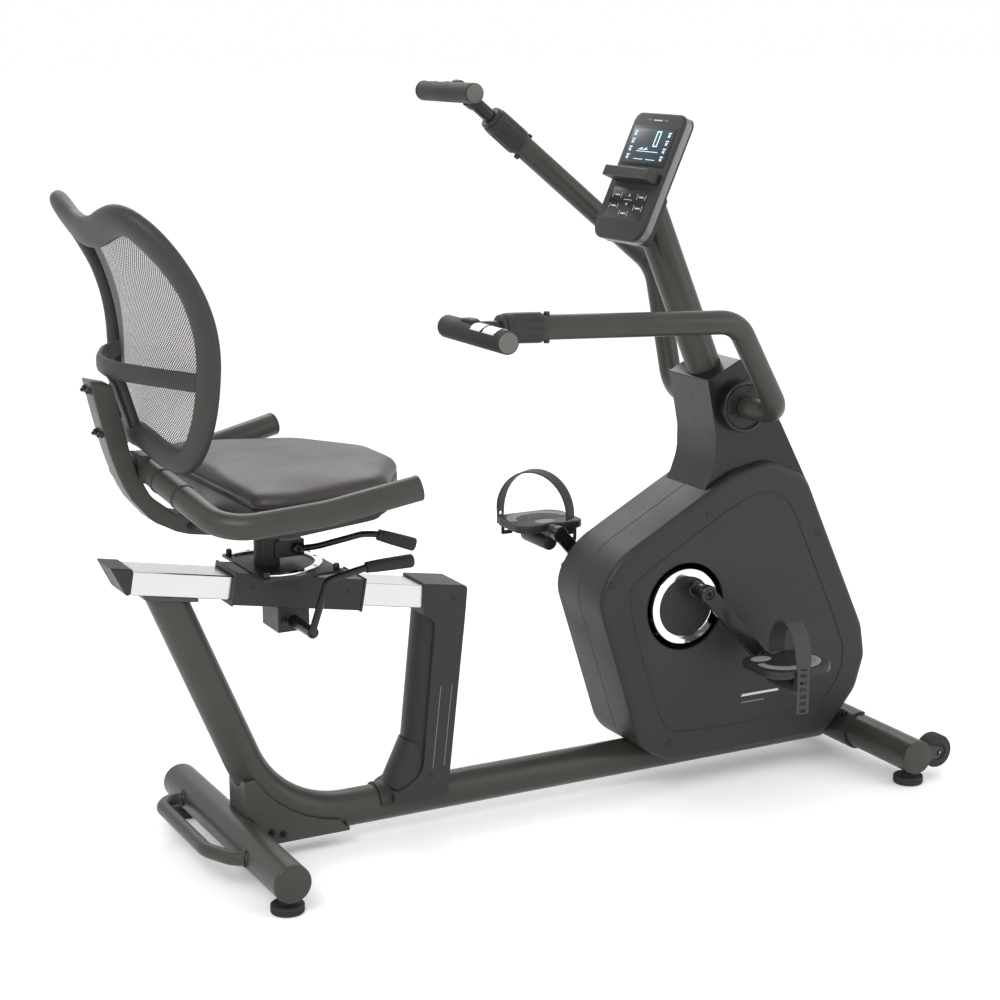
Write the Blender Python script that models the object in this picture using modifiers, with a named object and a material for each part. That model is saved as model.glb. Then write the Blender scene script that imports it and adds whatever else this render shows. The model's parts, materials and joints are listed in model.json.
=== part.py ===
"""Recumbent exercise bike with swinging arms, built at rest in metres, +Z up, +X toward the console."""

from math import atan2, cos, pi, radians, sin, tan

import bmesh
import bpy
from mathutils import Matrix, Vector

# ---- driving dimensions (metres, bike coordinates: x = 0 at the rear stabiliser, floor at z = 0) ----
LENGTH_CENTRE = 0.5186
GAP = 0.0003
CLOSEST = 0.0004
TUBE_R = 0.030
STABILISER_Z = 0.0512
STABILISER_HALF = 0.247
FRONT_X = 1.1624
FOOT_Y = 0.222
FOOT_R = 0.026
WHEEL_R = 0.0295
WHEEL_X = 1.224
WHEEL_Z = 0.046
MAIN_Z = 0.0525
MAIN_BEND_R = 0.189
RAIL_TILT = radians(9.8)
RAIL_W = 0.070
RAIL_H = 0.037
RAIL_TOP_AT_ZERO = 0.4713
RAIL_REAR = -0.160
RAIL_FRONT = 0.388
CARRIAGE_X = 0.1045
SWIVEL_X = 0.068
PLATE_Z = 0.475
CRANK_X = 0.787
CRANK_Z = 0.331
CRANK_HUB = (0.018, 0.029)
CRANK_END = (0.133, -0.098)
CRANK_Y = 0.117
CRANK_T = 0.012
DISC_R = 0.065
HOUSING_Y = 0.079
HOUSING_WALL = 0.004
FLYWHEEL_X = 1.030
FLYWHEEL_Z = 0.215
FLYWHEEL_R = 0.100
PULLEY_R = 0.105
SMALL_PULLEY_R = 0.0164
ARM_X = 0.900
ARM_Z = 0.662
ARM_SWING = radians(36.5)
ARM_TUBE_R = 0.019
ARM_TUBE_Y = 0.221
GRIP_IN = 0.177
GRIP_OUT = 0.372
GRIP_R = 0.017
STEM_R = 0.012
NECK_Y = 0.060
POST_R = 0.029
CONSOLE_TILT = radians(24)
SEAT_Z = 0.575
CUSHION_T = 0.060
BACK_RIM_R = 0.017

# ---- finishes: colour, roughness, metallic ----
FINISHES = {
    "painted_steel": ((0.055, 0.060, 0.052, 1), 0.42, 0.35),
    "dark_plastic": ((0.045, 0.048, 0.044, 1), 0.50, 0.0),
    "black_steel": ((0.020, 0.020, 0.021, 1), 0.38, 0.5),
    "aluminium": ((0.78, 0.78, 0.79, 1), 0.25, 1.0),
    "chrome": ((0.80, 0.80, 0.82, 1), 0.10, 1.0),
    "bright_steel": ((0.50, 0.50, 0.52, 1), 0.30, 1.0),
    "rubber": ((0.025, 0.025, 0.026, 1), 0.80, 0.0),
    "leather": ((0.070, 0.058, 0.055, 1), 0.45, 0.0),
    "mesh_cloth": ((0.20, 0.19, 0.19, 1), 0.90, 0.0),
    "glass": ((0.02, 0.03, 0.04, 1), 0.08, 0.0),
    "cast_iron": ((0.12, 0.12, 0.13, 1), 0.45, 0.9),
}

for stale in list(bpy.data.objects):
    bpy.data.objects.remove(stale, do_unlink=True)

PARTS = bpy.data.collections.new("exercise_bike")
CUTTERS = bpy.data.collections.new("cutters")
bpy.context.scene.collection.children.link(PARTS)
bpy.context.scene.collection.children.link(CUTTERS)


# ---- helpers ----
def empty(name, location, parent=None, rotation=(0, 0, 0)):
    marker = bpy.data.objects.new(name, None)
    PARTS.objects.link(marker)
    marker.location = location
    marker.rotation_euler = rotation
    marker.parent = parent
    return marker


ROOT = empty("bike_root", (-LENGTH_CENTRE, 0, 0))


def finished(obj, name, finish, parent=None, smooth=True):
    """Names a sub-part, gives it its own material and shades it."""
    obj.name = name
    obj.data.name = name
    colour, roughness, metallic = FINISHES[finish]
    material = bpy.data.materials.new(name)
    material.use_nodes = True
    shader = material.node_tree.nodes["Principled BSDF"]
    shader.inputs["Base Color"].default_value = colour
    shader.inputs["Roughness"].default_value = roughness
    shader.inputs["Metallic"].default_value = metallic
    obj.data.materials.clear()
    obj.data.materials.append(material)
    obj.parent = parent or ROOT
    if smooth:
        for face in obj.data.polygons:
            face.use_smooth = True
        obj.data.set_sharp_from_angle(angle=radians(35))
    return obj


def from_bmesh(name, mesh_data):
    bmesh.ops.recalc_face_normals(mesh_data, faces=mesh_data.faces)
    mesh = bpy.data.meshes.new(name)
    mesh_data.to_mesh(mesh)
    mesh_data.free()
    obj = bpy.data.objects.new(name, mesh)
    PARTS.objects.link(obj)
    return obj


def baked(curve_object):
    """Turns a curve object into a mesh object with welded caps, outline kept."""
    bpy.context.view_layer.update()
    graph = bpy.context.evaluated_depsgraph_get()
    mesh = bpy.data.meshes.new_from_object(curve_object.evaluated_get(graph))
    mesh.transform(curve_object.matrix_world)
    name = curve_object.name
    bpy.data.objects.remove(curve_object, do_unlink=True)
    work = bmesh.new()
    work.from_mesh(mesh)
    bmesh.ops.remove_doubles(work, verts=work.verts, dist=0.00001)
    bpy.data.meshes.remove(mesh)
    return from_bmesh(name, work)


def cutter(obj):
    PARTS.objects.unlink(obj)
    CUTTERS.objects.link(obj)
    obj.hide_render = True
    obj.display_type = "WIRE"
    obj.parent = ROOT
    return obj


def boolean(target, tool, operation="DIFFERENCE"):
    step = target.modifiers.new(operation.lower(), "BOOLEAN")
    step.operation = operation
    step.solver = "EXACT"
    step.object = tool
    return target


def cut(target, *tools):
    for tool in tools:
        boolean(target, tool)
    return target


def join(target, *tools):
    for tool in tools:
        boolean(target, cutter(tool), "UNION")
    return target


def bevelled(obj, width, segments=2, angle=radians(40)):
    step = obj.modifiers.new("bevel", "BEVEL")
    step.width = width
    step.segments = segments
    step.limit_method = "ANGLE"
    step.angle_limit = angle
    return obj


def box(name, size, centre, rotation=(0, 0, 0)):
    work = bmesh.new()
    bmesh.ops.create_cube(work, size=1)
    bmesh.ops.scale(work, vec=size, verts=work.verts)
    obj = from_bmesh(name, work)
    obj.location = centre
    obj.rotation_euler = rotation
    return obj


def span_box(name, low, high):
    size = [b - a for a, b in zip(low, high)]
    centre = [(a + b) / 2 for a, b in zip(low, high)]
    return box(name, size, centre)


def rod(name, start, end, radius, segments=24, end_radius=None):
    """A round bar between two points."""
    start, end = Vector(start), Vector(end)
    axis = end - start
    work = bmesh.new()
    bmesh.ops.create_cone(
        work,
        cap_ends=True,
        segments=segments,
        radius1=radius,
        radius2=radius if end_radius is None else end_radius,
        depth=axis.length,
    )
    turn = Vector((0, 0, 1)).rotation_difference(axis).to_matrix().to_4x4()
    bmesh.ops.transform(work, matrix=turn, verts=work.verts)
    obj = from_bmesh(name, work)
    obj.location = (start + end) / 2
    return obj


def fillet(points, radii, step=radians(15), closed=False):
    """Rounds the corners of a polyline in two or three dimensions."""
    points = [Vector(p) for p in points]
    count = len(points)
    if not isinstance(radii, (list, tuple)):
        radii = [radii] * count
    out = []
    for index, point in enumerate(points):
        inner = closed or 0 < index < count - 1
        radius = radii[index]
        if not inner or radius <= 0:
            out.append(point)
            continue
        to_last = (points[index - 1] - point).normalized()
        to_next = (points[(index + 1) % count] - point).normalized()
        half = to_last.angle(to_next) / 2
        reach = radius / tan(half)
        bisector = (to_last + to_next).normalized()
        centre = point + bisector * (radius / sin(half))
        first = point + to_last * reach - centre
        last = point + to_next * reach - centre
        sweep = first.angle(last)
        steps = max(1, round(sweep / step))
        for k in range(steps + 1):
            part = k / steps
            mixed = (first * sin((1 - part) * sweep) + last * sin(part * sweep)) / sin(sweep)
            out.append(centre + mixed)
    spaced = [out[0]]
    for point in out[1:]:
        if (point - spaced[-1]).length > CLOSEST:
            spaced.append(point)
    if closed and (spaced[0] - spaced[-1]).length < CLOSEST:
        spaced.pop()
    return spaced


def tube(name, points, radius, resolution=4, cyclic=False, swell=None):
    """A round bar along a polyline; swell gives each point's share of the radius."""
    curve = bpy.data.curves.new(name, "CURVE")
    curve.dimensions = "3D"
    curve.bevel_depth = radius
    curve.bevel_resolution = resolution
    curve.use_fill_caps = not cyclic
    spline = curve.splines.new("POLY")
    spline.points.add(len(points) - 1)
    for spot, point in zip(spline.points, points):
        spot.co = (*point, 1)
    for spot, share in zip(spline.points, swell or []):
        spot.radius = share
    spline.use_cyclic_u = cyclic
    obj = bpy.data.objects.new(name, curve)
    PARTS.objects.link(obj)
    return baked(obj)


def flat(name, outlines, low, high, plane="XZ"):
    """A flat outline given thickness: plane XZ runs along Y from low to high, XY along Z, YZ along X."""
    curve = bpy.data.curves.new(name, "CURVE")
    curve.dimensions = "2D"
    curve.fill_mode = "BOTH"
    curve.extrude = (high - low) / 2
    for outline in outlines:
        spline = curve.splines.new("POLY")
        spline.points.add(len(outline) - 1)
        for spot, point in zip(spline.points, outline):
            spot.co = (point[0], point[1], 0, 1)
        spline.use_cyclic_u = True
    obj = bpy.data.objects.new(name, curve)
    PARTS.objects.link(obj)
    middle = (low + high) / 2
    if plane == "XZ":
        obj.rotation_euler = (pi / 2, 0, 0)
        obj.location = (0, middle, 0)
    elif plane == "XY":
        obj.location = (0, 0, middle)
    else:
        obj.matrix_world = Matrix(((0, 0, 1, middle), (1, 0, 0, 0), (0, 1, 0, 0), (0, 0, 0, 1)))
    return baked(obj)


def inset(outline, amount):
    """Moves every side of a closed outline inward by amount."""
    points = [Vector(p) for p in outline]
    count = len(points)
    area = sum(points[i - 1].x * points[i].y - points[i].x * points[i - 1].y for i in range(count))
    side = 1 if area > 0 else -1
    out = []
    for i in range(count):
        before = (points[i] - points[i - 1]).normalized()
        after = (points[(i + 1) % count] - points[i]).normalized()
        normal = Vector((-before.y - after.y, before.x + after.x)).normalized() * side
        facing = Vector((-before.y, before.x)) * side
        out.append(points[i] + normal * (amount / max(0.3, normal.dot(facing))))
    return out


def loft(name, sections):
    """A closed shape through XZ outlines of equal point count: sections is (y, outline) from end to end."""
    work = bmesh.new()
    rows = [[work.verts.new((p[0], y, p[1])) for p in outline] for y, outline in sections]
    count = len(rows[0])
    for low_row, high_row in zip(rows, rows[1:]):
        for i in range(count):
            j = (i + 1) % count
            work.faces.new((low_row[i], low_row[j], high_row[j], high_row[i]))
    work.faces.new(rows[0])
    work.faces.new(rows[-1])
    return from_bmesh(name, work)


def mirrored(points):
    return [(p[0], -p[1], p[2]) for p in points]


SIDES = (("right", -1), ("left", 1))


def rail_centre(x):
    """Height of the rail's centre line at a distance x along the bike."""
    return RAIL_TOP_AT_ZERO - RAIL_H / 2 / cos(RAIL_TILT) - x * tan(RAIL_TILT)


def on_rail(x, up=0.0, along=0.0):
    """A point in the rail's own directions, from its centre line at x."""
    return (
        x + along * cos(RAIL_TILT) + up * sin(RAIL_TILT),
        rail_centre(x) - along * sin(RAIL_TILT) + up * cos(RAIL_TILT),
    )


# ---- frame: main tube, post and weld plate ----
BEND_CORNER = (0.0657, MAIN_Z)
SLOPE_TOP = (-0.1123, 0.480)
main_path = fillet(
    [(SLOPE_TOP[0], 0, SLOPE_TOP[1]), (BEND_CORNER[0], 0, MAIN_Z), (FRONT_X - 0.0347, 0, MAIN_Z)],
    MAIN_BEND_R,
    step=radians(8),
)
main_tube = tube("main_tube", main_path, TUBE_R, resolution=6)
post = rod("post", (0.316, 0, MAIN_Z), (0.352, 0, 0.400), 0.0285, 24)
plate_x, plate_z = on_rail(-0.095, -RAIL_H / 2 - 0.0025)
plate = box("weld_plate", (0.086, 0.066, 0.006), (plate_x, 0, plate_z), (0, RAIL_TILT, 0))
join(main_tube, post, plate)
trim_x, trim_z = on_rail(0.1, -RAIL_H / 2 - GAP + 0.1)
trim = cutter(box("rail_underside", (1.2, 0.3, 0.2), (trim_x, 0, trim_z), (0, RAIL_TILT, 0)))
cut(main_tube, trim)
finished(main_tube, "main_tube", "painted_steel")


def main_tube_clearance(name, extra=GAP):
    return cutter(tube(name, main_path, TUBE_R + extra, resolution=6))


# ---- rear gusset under the bend ----
ARC_X = BEND_CORNER[0] + MAIN_BEND_R * tan(radians(33.7))
ARC_Z = MAIN_Z + MAIN_BEND_R
gusset_outline = [(0.008, 0.138), (0.008, 0.027), (0.185, 0.027), (0.185, 0.034), (0.178, 0.036)]
for turn in range(7):
    angle = radians(-97 - 8.6 * turn)
    reach = MAIN_BEND_R + 0.006
    gusset_outline.append((ARC_X + reach * cos(angle), ARC_Z + reach * sin(angle)))
gusset = flat("rear_gusset", [gusset_outline], -0.0342, 0.0342)
rear_bar = cutter(rod("rear_bar_room", (0, -0.3, STABILISER_Z), (0, 0.3, STABILISER_Z), TUBE_R + GAP, 32))
cut(gusset, main_tube_clearance("gusset_tube_room"), rear_bar)
finished(gusset, "rear_gusset", "painted_steel")


# ---- stabilisers ----
def stabiliser(name, x):
    bar = rod(
        name,
        (x, -STABILISER_HALF, STABILISER_Z),
        (x, STABILISER_HALF, STABILISER_Z),
        TUBE_R,
        32,
    )
    bar.location = (0, 0, 0)
    bar.data.transform(Matrix.Translation((x, 0, STABILISER_Z)))
    return bar


def foot_hole(x, side):
    return cutter(rod("foot_hole", (x, side * FOOT_Y, -0.01), (x, side * FOOT_Y, 0.046), 0.0053, 16))


rear = stabiliser("rear_stabiliser", 0.0)
handle_path = fillet(
    [
        (-0.010, 0.150, 0.056),
        (-0.067, 0.178, 0.051),
        (-0.067, -0.060, 0.051),
        (-0.042, -0.112, 0.051),
        (-0.010, -0.137, 0.056),
    ],
    [0, 0.028, 0.060, 0.060, 0],
)
join(rear, tube("lift_handle", handle_path, 0.0115, resolution=3))
for _, side in SIDES:
    cut(rear, foot_hole(0.0, side))
finished(rear, "rear_stabiliser", "painted_steel")

front = stabiliser("front_stabiliser", FRONT_X)
for _, side in SIDES:
    for y in (0.2290, 0.1945):
        ear = flat(
            "wheel_ear",
            [
                [
                    (FRONT_X + 0.015, 0.040),
                    (WHEEL_X, 0.040),
                    (WHEEL_X + 0.006, 0.046),
                    (WHEEL_X, 0.052),
                    (FRONT_X + 0.015, 0.062),
                ]
            ],
            side * y - 0.0015,
            side * y + 0.0015,
        )
        join(front, ear)
    pin = rod(
        "wheel_pin", (WHEEL_X, side * 0.192, WHEEL_Z), (WHEEL_X, side * 0.2335, WHEEL_Z), 0.004, 16
    )
    join(front, pin)
    cut(front, foot_hole(FRONT_X, side))
finished(front, "front_stabiliser", "painted_steel")

saddle = rod("front_saddle", (FRONT_X, -0.081, STABILISER_Z), (FRONT_X, 0.081, STABILISER_Z), 0.0344, 32)
front_bar = cutter(
    rod("front_bar_room", (FRONT_X, -0.3, STABILISER_Z), (FRONT_X, 0.3, STABILISER_Z), TUBE_R + GAP, 32)
)
saddle_front = cutter(
    span_box("saddle_front", (FRONT_X + 0.012, -0.2, 0.0), (FRONT_X + 0.1, 0.2, 0.2))
)
cut(saddle, front_bar, saddle_front)
finished(saddle, "front_saddle", "painted_steel")

# ---- levelling feet and transport wheels ----
for end, x in (("rear", 0.0), ("front", FRONT_X)):
    for word, side in SIDES:
        foot = rod("foot", (x, side * FOOT_Y, 0.0), (x, side * FOOT_Y, 0.0135), FOOT_R, 28)
        stem = rod("stem", (x, side * FOOT_Y, 0.006), (x, side * FOOT_Y, 0.040), 0.005, 14)
        join(foot, stem)
        finished(foot, f"foot_{end}_{word}", "rubber")

for word, side in SIDES:
    wheel = rod(
        "wheel",
        (WHEEL_X, side * 0.2122 - 0.014, WHEEL_Z),
        (WHEEL_X, side * 0.2122 + 0.014, WHEEL_Z),
        WHEEL_R,
        32,
    )
    bevelled(wheel, 0.003, 2)
    bore = cutter(rod("bore", (WHEEL_X, -0.3, WHEEL_Z), (WHEEL_X, 0.3, WHEEL_Z), 0.0043, 16))
    cut(wheel, bore)
    finished(wheel, f"wheel_{word}", "rubber")

# ---- seat rail, its end cap and the post cover ----
rail_mid = (RAIL_REAR + RAIL_FRONT) / 2
rail_length = (RAIL_FRONT - RAIL_REAR) / cos(RAIL_TILT)
rail = box(
    "seat_rail",
    (rail_length, RAIL_W, RAIL_H),
    (rail_mid, 0, rail_centre(rail_mid)),
    (0, RAIL_TILT, 0),
)
bevelled(rail, 0.0015, 1)
finished(rail, "seat_rail", "aluminium", smooth=False)

end_cap_outline = [
    on_rail(RAIL_REAR, RAIL_H / 2 + 0.003, -0.0360),
    on_rail(RAIL_REAR, RAIL_H / 2 + 0.003, -GAP),
    on_rail(RAIL_REAR, -RAIL_H / 2 - 0.001, -GAP),
    on_rail(RAIL_REAR, -RAIL_H / 2 - 0.001, -0.006),
]
end_cap = flat("rail_end_cap", [end_cap_outline], -0.0355, 0.0355)
bevelled(end_cap, 0.003, 2)
finished(end_cap, "rail_end_cap", "dark_plastic")

cover_outline = fillet(
    [
        (0.3185, 0.4205),
        (0.3955, 0.4085),
        (0.3900, 0.3510),
        (0.3570, 0.0590),
        (0.2620, 0.0600),
        (0.2620, 0.0740),
        (0.3130, 0.1000),
        (0.3380, 0.3560),
        (0.3160, 0.3690),
    ],
    [0.002, 0.008, 0, 0.002, 0.003, 0.004, 0.040, 0.020, 0.003],
    closed=True,
)
cover_outline = [(p.x, p.y) for p in cover_outline]
post_cover = flat("post_cover", [cover_outline], -0.0405, 0.0405)
bevelled(post_cover, 0.006, 2, radians(60))
post_sleeve = rod("post_sleeve", (0.3215, 0, 0.100), (0.3490, 0, 0.368), 0.0325, 32)
tube_sleeve = rod("tube_sleeve", (0.2430, 0, MAIN_Z), (0.3560, 0, MAIN_Z), 0.0340, 32)
sleeve_flare = rod("sleeve_flare", (0.2960, 0, 0.070), (0.3230, 0, 0.145), 0.0398, 32, 0.0325)
join(post_cover, post_sleeve, tube_sleeve, sleeve_flare)
rail_room = cutter(
    box(
        "rail_room",
        (rail_length + 2 * GAP, RAIL_W + 2 * GAP, RAIL_H + 2 * GAP),
        (rail_mid, 0, rail_centre(rail_mid)),
        (0, RAIL_TILT, 0),
    )
)
post_room = cutter(rod("post_room", (0.316, 0, MAIN_Z), (0.3520, 0, 0.400), 0.0285 + GAP, 24))
cover_under = cutter(span_box("cover_under", (0.2, -0.1, 0.0), (0.4, 0.1, 0.0560)))
cut(post_cover, rail_room, post_room, main_tube_clearance("cover_tube_room"), cover_under)
finished(post_cover, "post_cover", "dark_plastic")

# ---- carriage that slides on the rail ----
SLEEVE_LENGTH = 0.216
carriage_z = rail_centre(CARRIAGE_X)
sleeve = box("carriage", (SLEEVE_LENGTH, 0.083, 0.0500), (CARRIAGE_X, 0, carriage_z), (0, RAIL_TILT, 0))
wedge_outline = [(0.030, 0.450), (0.140, 0.440), (0.140, 0.471), (0.030, 0.471)]
seat_mount = flat("swivel_wedge", [wedge_outline], -0.032, 0.032)
base_plate = span_box("swivel_plate", (0.028, -0.090, 0.4703), (0.158, 0.090, 0.4750))
hanger = span_box("lock_hanger", (0.070, -0.036, 0.372), (0.122, 0.030, 0.413))
join(sleeve, seat_mount, base_plate, hanger)
passage = cutter(
    box(
        "rail_passage",
        (0.400, RAIL_W + 0.001, RAIL_H + 0.001),
        (CARRIAGE_X, 0, carriage_z),
        (0, RAIL_TILT, 0),
    )
)
LEVER_PIVOT = (0.097, 0.388)
lever_bore = cutter(
    rod(
        "lever_bore",
        (LEVER_PIVOT[0], -0.2, LEVER_PIVOT[1]),
        (LEVER_PIVOT[0], 0.2, LEVER_PIVOT[1]),
        0.0093,
        20,
    )
)
swivel_bore = cutter(rod("swivel_bore", (SWIVEL_X, 0, 0.462), (SWIVEL_X, 0, 0.480), 0.0123, 24))
cut(sleeve, passage, lever_bore, swivel_bore)
finished(sleeve, "carriage", "painted_steel")

sector = [(SWIVEL_X + 0.086 * cos(radians(a)), 0.086 * sin(radians(a))) for a in range(-112, 113, 14)]
sector += [(SWIVEL_X + 0.074 * cos(radians(a)), 0.074 * sin(radians(a))) for a in range(112, -113, -14)]
index_arc = flat("index_arc", [sector], 0.4753, 0.4785, plane="XY")
for angle in range(-90, 91, 45):
    spot = (SWIVEL_X + 0.080 * cos(radians(angle)), 0.080 * sin(radians(angle)))
    cut(index_arc, cutter(rod("index_hole", (*spot, 0.46), (*spot, 0.49), 0.0032, 12)))
finished(index_arc, "index_arc", "chrome")

# ---- slide lock lever ----
lever_path = fillet(
    [
        (LEVER_PIVOT[0], -0.106, LEVER_PIVOT[1]),
        (0.1235, -0.107, 0.4670),
        (0.1900, -0.107, 0.4790),
        (0.2020, -0.107, 0.4795),
    ],
    [0, 0.014, 0.03, 0],
)
slide_lever = tube("slide_lever", lever_path, 0.0058, resolution=3)
lever_shaft = rod(
    "lever_shaft",
    (LEVER_PIVOT[0], 0.034, LEVER_PIVOT[1]),
    (LEVER_PIVOT[0], -0.110, LEVER_PIVOT[1]),
    0.009,
    20,
)
join(slide_lever, lever_shaft)
finished(slide_lever, "slide_lever", "black_steel")
slide_grip = rod("slide_grip", (0.1870, -0.107, 0.4790), (0.2660, -0.107, 0.4805), 0.0088, 24, 0.0108)
grip_bore = cutter(rod("slide_grip_bore", (0.182, -0.107, 0.4789), (0.2035, -0.107, 0.4796), 0.0070, 20))
cut(slide_grip, grip_bore)
finished(slide_grip, "slide_lever_grip", "rubber")

# ---- seat base that swivels on the carriage ----
swivel = empty("seat_swivel", (SWIVEL_X, 0, PLATE_Z), ROOT)


def on_swivel(obj):
    """Keeps a seat part where it was drawn while parenting it to the swivel."""
    obj.parent = swivel
    obj.location = Vector(obj.location) - Vector((SWIVEL_X, 0, PLATE_Z))
    return obj


seat_base = rod("seat_base", (SWIVEL_X, 0, 0.4753), (SWIVEL_X, 0, 0.570), 0.020, 28)
spigot = rod("spigot", (SWIVEL_X, 0, 0.4637), (SWIVEL_X, 0, 0.500), 0.012, 24)
lever_block = span_box("lever_block", (0.074, -0.021, 0.487), (0.122, 0.021, 0.513))
pan_outline = fillet(
    [
        (-0.018, 0.198),
        (-0.018, -0.198),
        (0.020, -0.217),
        (0.184, -0.166),
        (0.255, -0.045),
        (0.255, 0.045),
        (0.184, 0.166),
        (0.020, 0.217),
    ],
    [0.02, 0.02, 0.04, 0.06, 0.05, 0.05, 0.06, 0.04],
    closed=True,
)
pan = flat("seat_pan", [[(p.x, p.y) for p in pan_outline]], 0.5675, 0.5735, plane="XY")
join(seat_base, spigot, lever_block, pan)
finished(seat_base, "seat_base", "painted_steel")
on_swivel(seat_base)

SWIVEL_LEVER_Z = 0.500
swivel_bolt = cutter(
    rod("swivel_bolt_bore", (0.110, -0.05, SWIVEL_LEVER_Z), (0.110, 0.05, SWIVEL_LEVER_Z), 0.0044, 16)
)
cut(seat_base, swivel_bolt)
swivel_path = fillet(
    [
        (0.110, -0.0275, SWIVEL_LEVER_Z),
        (0.135, -0.0400, 0.5035),
        (0.189, -0.0900, 0.5275),
        (0.2080, -0.0990, 0.5275),
        (0.2230, -0.1030, 0.5223),
    ],
    [0, 0.03, 0.02, 0.02, 0],
)
swivel_lever = tube("swivel_lever", swivel_path, 0.0050, resolution=3)
join(
    swivel_lever,
    rod("swivel_pin", (0.110, 0.024, SWIVEL_LEVER_Z), (0.110, -0.029, SWIVEL_LEVER_Z), 0.0041, 16),
    rod("swivel_eye", (0.110, -0.0215, SWIVEL_LEVER_Z), (0.110, -0.031, SWIVEL_LEVER_Z), 0.0090, 20),
)
finished(swivel_lever, "swivel_lever", "black_steel")
on_swivel(swivel_lever)
swivel_grip = rod("swivel_grip", (0.2105, -0.0996, 0.5265), (0.2670, -0.1149, 0.5070), 0.0088, 24, 0.0105)
swivel_grip_bore = cutter(
    tube("swivel_grip_bore", swivel_path + [Vector((0.2248, -0.1035, 0.5217))], 0.0056, resolution=3)
)
cut(swivel_grip, swivel_grip_bore)
finished(swivel_grip, "swivel_lever_grip", "rubber")
on_swivel(swivel_grip)

# ---- seat cushion ----
cushion_outline = fillet(
    [
        (-0.030, 0.212),
        (-0.030, -0.212),
        (0.020, -0.232),
        (0.190, -0.180),
        (0.269, -0.050),
        (0.269, 0.050),
        (0.190, 0.180),
        (0.020, 0.232),
    ],
    [0.025, 0.025, 0.05, 0.07, 0.06, 0.06, 0.07, 0.05],
    closed=True,
)
cushion_outline = [(p.x, p.y) for p in cushion_outline]
cushion = flat("seat_cushion", [cushion_outline], SEAT_Z, SEAT_Z + CUSHION_T, plane="XY")
bevelled(cushion, 0.014, 3, radians(60))
finished(cushion, "seat_cushion", "leather")
on_swivel(cushion)

# ---- backrest spine ----
spine_outline = fillet(
    [
        (-0.2060, 0.7850),
        (-0.1720, 0.7760),
        (-0.1490, 0.6740),
        (-0.1330, 0.6220),
        (-0.1050, 0.5880),
        (-0.0640, 0.5665),
        (0.0440, 0.5665),
        (0.0440, 0.5350),
        (-0.0440, 0.5350),
        (-0.0990, 0.5520),
        (-0.1400, 0.5840),
        (-0.1650, 0.6300),
        (-0.1790, 0.6700),
        (-0.1930, 0.7260),
    ],
    [0, 0, 0.12, 0.09, 0.09, 0.08, 0, 0, 0.12, 0.10, 0.10, 0.12, 0.2, 0.3],
    step=radians(20),
    closed=True,
)
spine = flat("back_spine", [[(p.x, p.y) for p in spine_outline]], -0.022, 0.022)
bevelled(spine, 0.004, 2, radians(60))
finished(spine, "back_spine", "painted_steel")
on_swivel(spine)


# ---- backrest frame and mesh ----
def back_x(y, z):
    """Fore-and-aft place of the back surface: upright in the middle, wrapping forward at the sides."""
    heights = (0.655, 0.700, 0.780, 0.850, 0.910, 0.950, 0.990, 1.015, 1.045)
    middle = (-0.131, -0.132, -0.141, -0.152, -0.164, -0.175, -0.188, -0.200, -0.216)
    wrap = (0.80, 0.95, 1.12, 1.32, 1.30, 1.18, 1.02, 0.96, 0.84)
    z = min(max(z, heights[0]), heights[-1])
    for i in range(len(heights) - 1):
        if z <= heights[i + 1]:
            part = (z - heights[i]) / (heights[i + 1] - heights[i])
            base = middle[i] + part * (middle[i + 1] - middle[i])
            curl = wrap[i] + part * (wrap[i + 1] - wrap[i])
            return base + curl * y * y
    return middle[-1]


HALF_RIM = [
    (0.000, 1.014),
    (0.045, 1.019),
    (0.090, 1.033),
    (0.130, 1.042),
    (0.160, 1.040),
    (0.186, 1.024),
    (0.208, 0.992),
    (0.223, 0.950),
    (0.229, 0.905),
    (0.230, 0.855),
    (0.226, 0.800),
    (0.216, 0.748),
    (0.196, 0.700),
    (0.172, 0.671),
    (0.145, 0.661),
    (0.090, 0.667),
    (0.045, 0.680),
    (0.000, 0.684),
]
rim_outline = HALF_RIM[:-1] + [(-y, z) for y, z in reversed(HALF_RIM[1:])]
rim_centre = inset(rim_outline, BACK_RIM_R)
rim_path = [(back_x(p.x, p.y), p.x, p.y) for p in rim_centre]
rim_swell = [1.0 + 0.35 * min(1.0, max(0.0, (p.y - 0.93) / 0.07)) for p in rim_centre]
back_frame = tube("back_frame", rim_path, BACK_RIM_R, resolution=3, cyclic=True, swell=rim_swell)
yoke_half = [
    (-0.174, 0.0, 0.800),
    (-0.168, 0.050, 0.800),
    (-0.142, 0.115, 0.800),
    (-0.1030, 0.180, 0.798),
    (-0.090, 0.204, 0.797),
]
yoke = tube("yoke", list(reversed(mirrored(yoke_half)[1:])) + yoke_half, 0.0115, resolution=3)
strut = tube("strut", [(-0.172, 0, 0.801), (-0.1555, 0, 0.775), (-0.134, 0, 0.705)], 0.0125, resolution=3)
join(back_frame, yoke, strut)
finished(back_frame, "back_frame", "dark_plastic")
on_swivel(back_frame)

MESH_MARGIN = 2 * BACK_RIM_R + 0.002
mesh_edge = inset(rim_outline, MESH_MARGIN)
mesh_middle = Vector((0.0, 0.835))
cloth = bmesh.new()
rings = []
for ring in (1.0, 0.66, 0.33):
    row = []
    for p in mesh_edge:
        spot = mesh_middle + (p - mesh_middle) * ring
        row.append(cloth.verts.new((back_x(spot.x, spot.y) + 0.0215, spot.x, spot.y)))
    rings.append(row)
hub = cloth.verts.new((back_x(0, mesh_middle.y) + 0.0215, 0, mesh_middle.y))
count = len(mesh_edge)
for outer_row, inner_row in zip(rings, rings[1:]):
    for i in range(count):
        j = (i + 1) % count
        cloth.faces.new((outer_row[i], outer_row[j], inner_row[j], inner_row[i]))
for i in range(count):
    cloth.faces.new((rings[-1][i], rings[-1][(i + 1) % count], hub))
back_mesh = from_bmesh("back_mesh", cloth)
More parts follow.
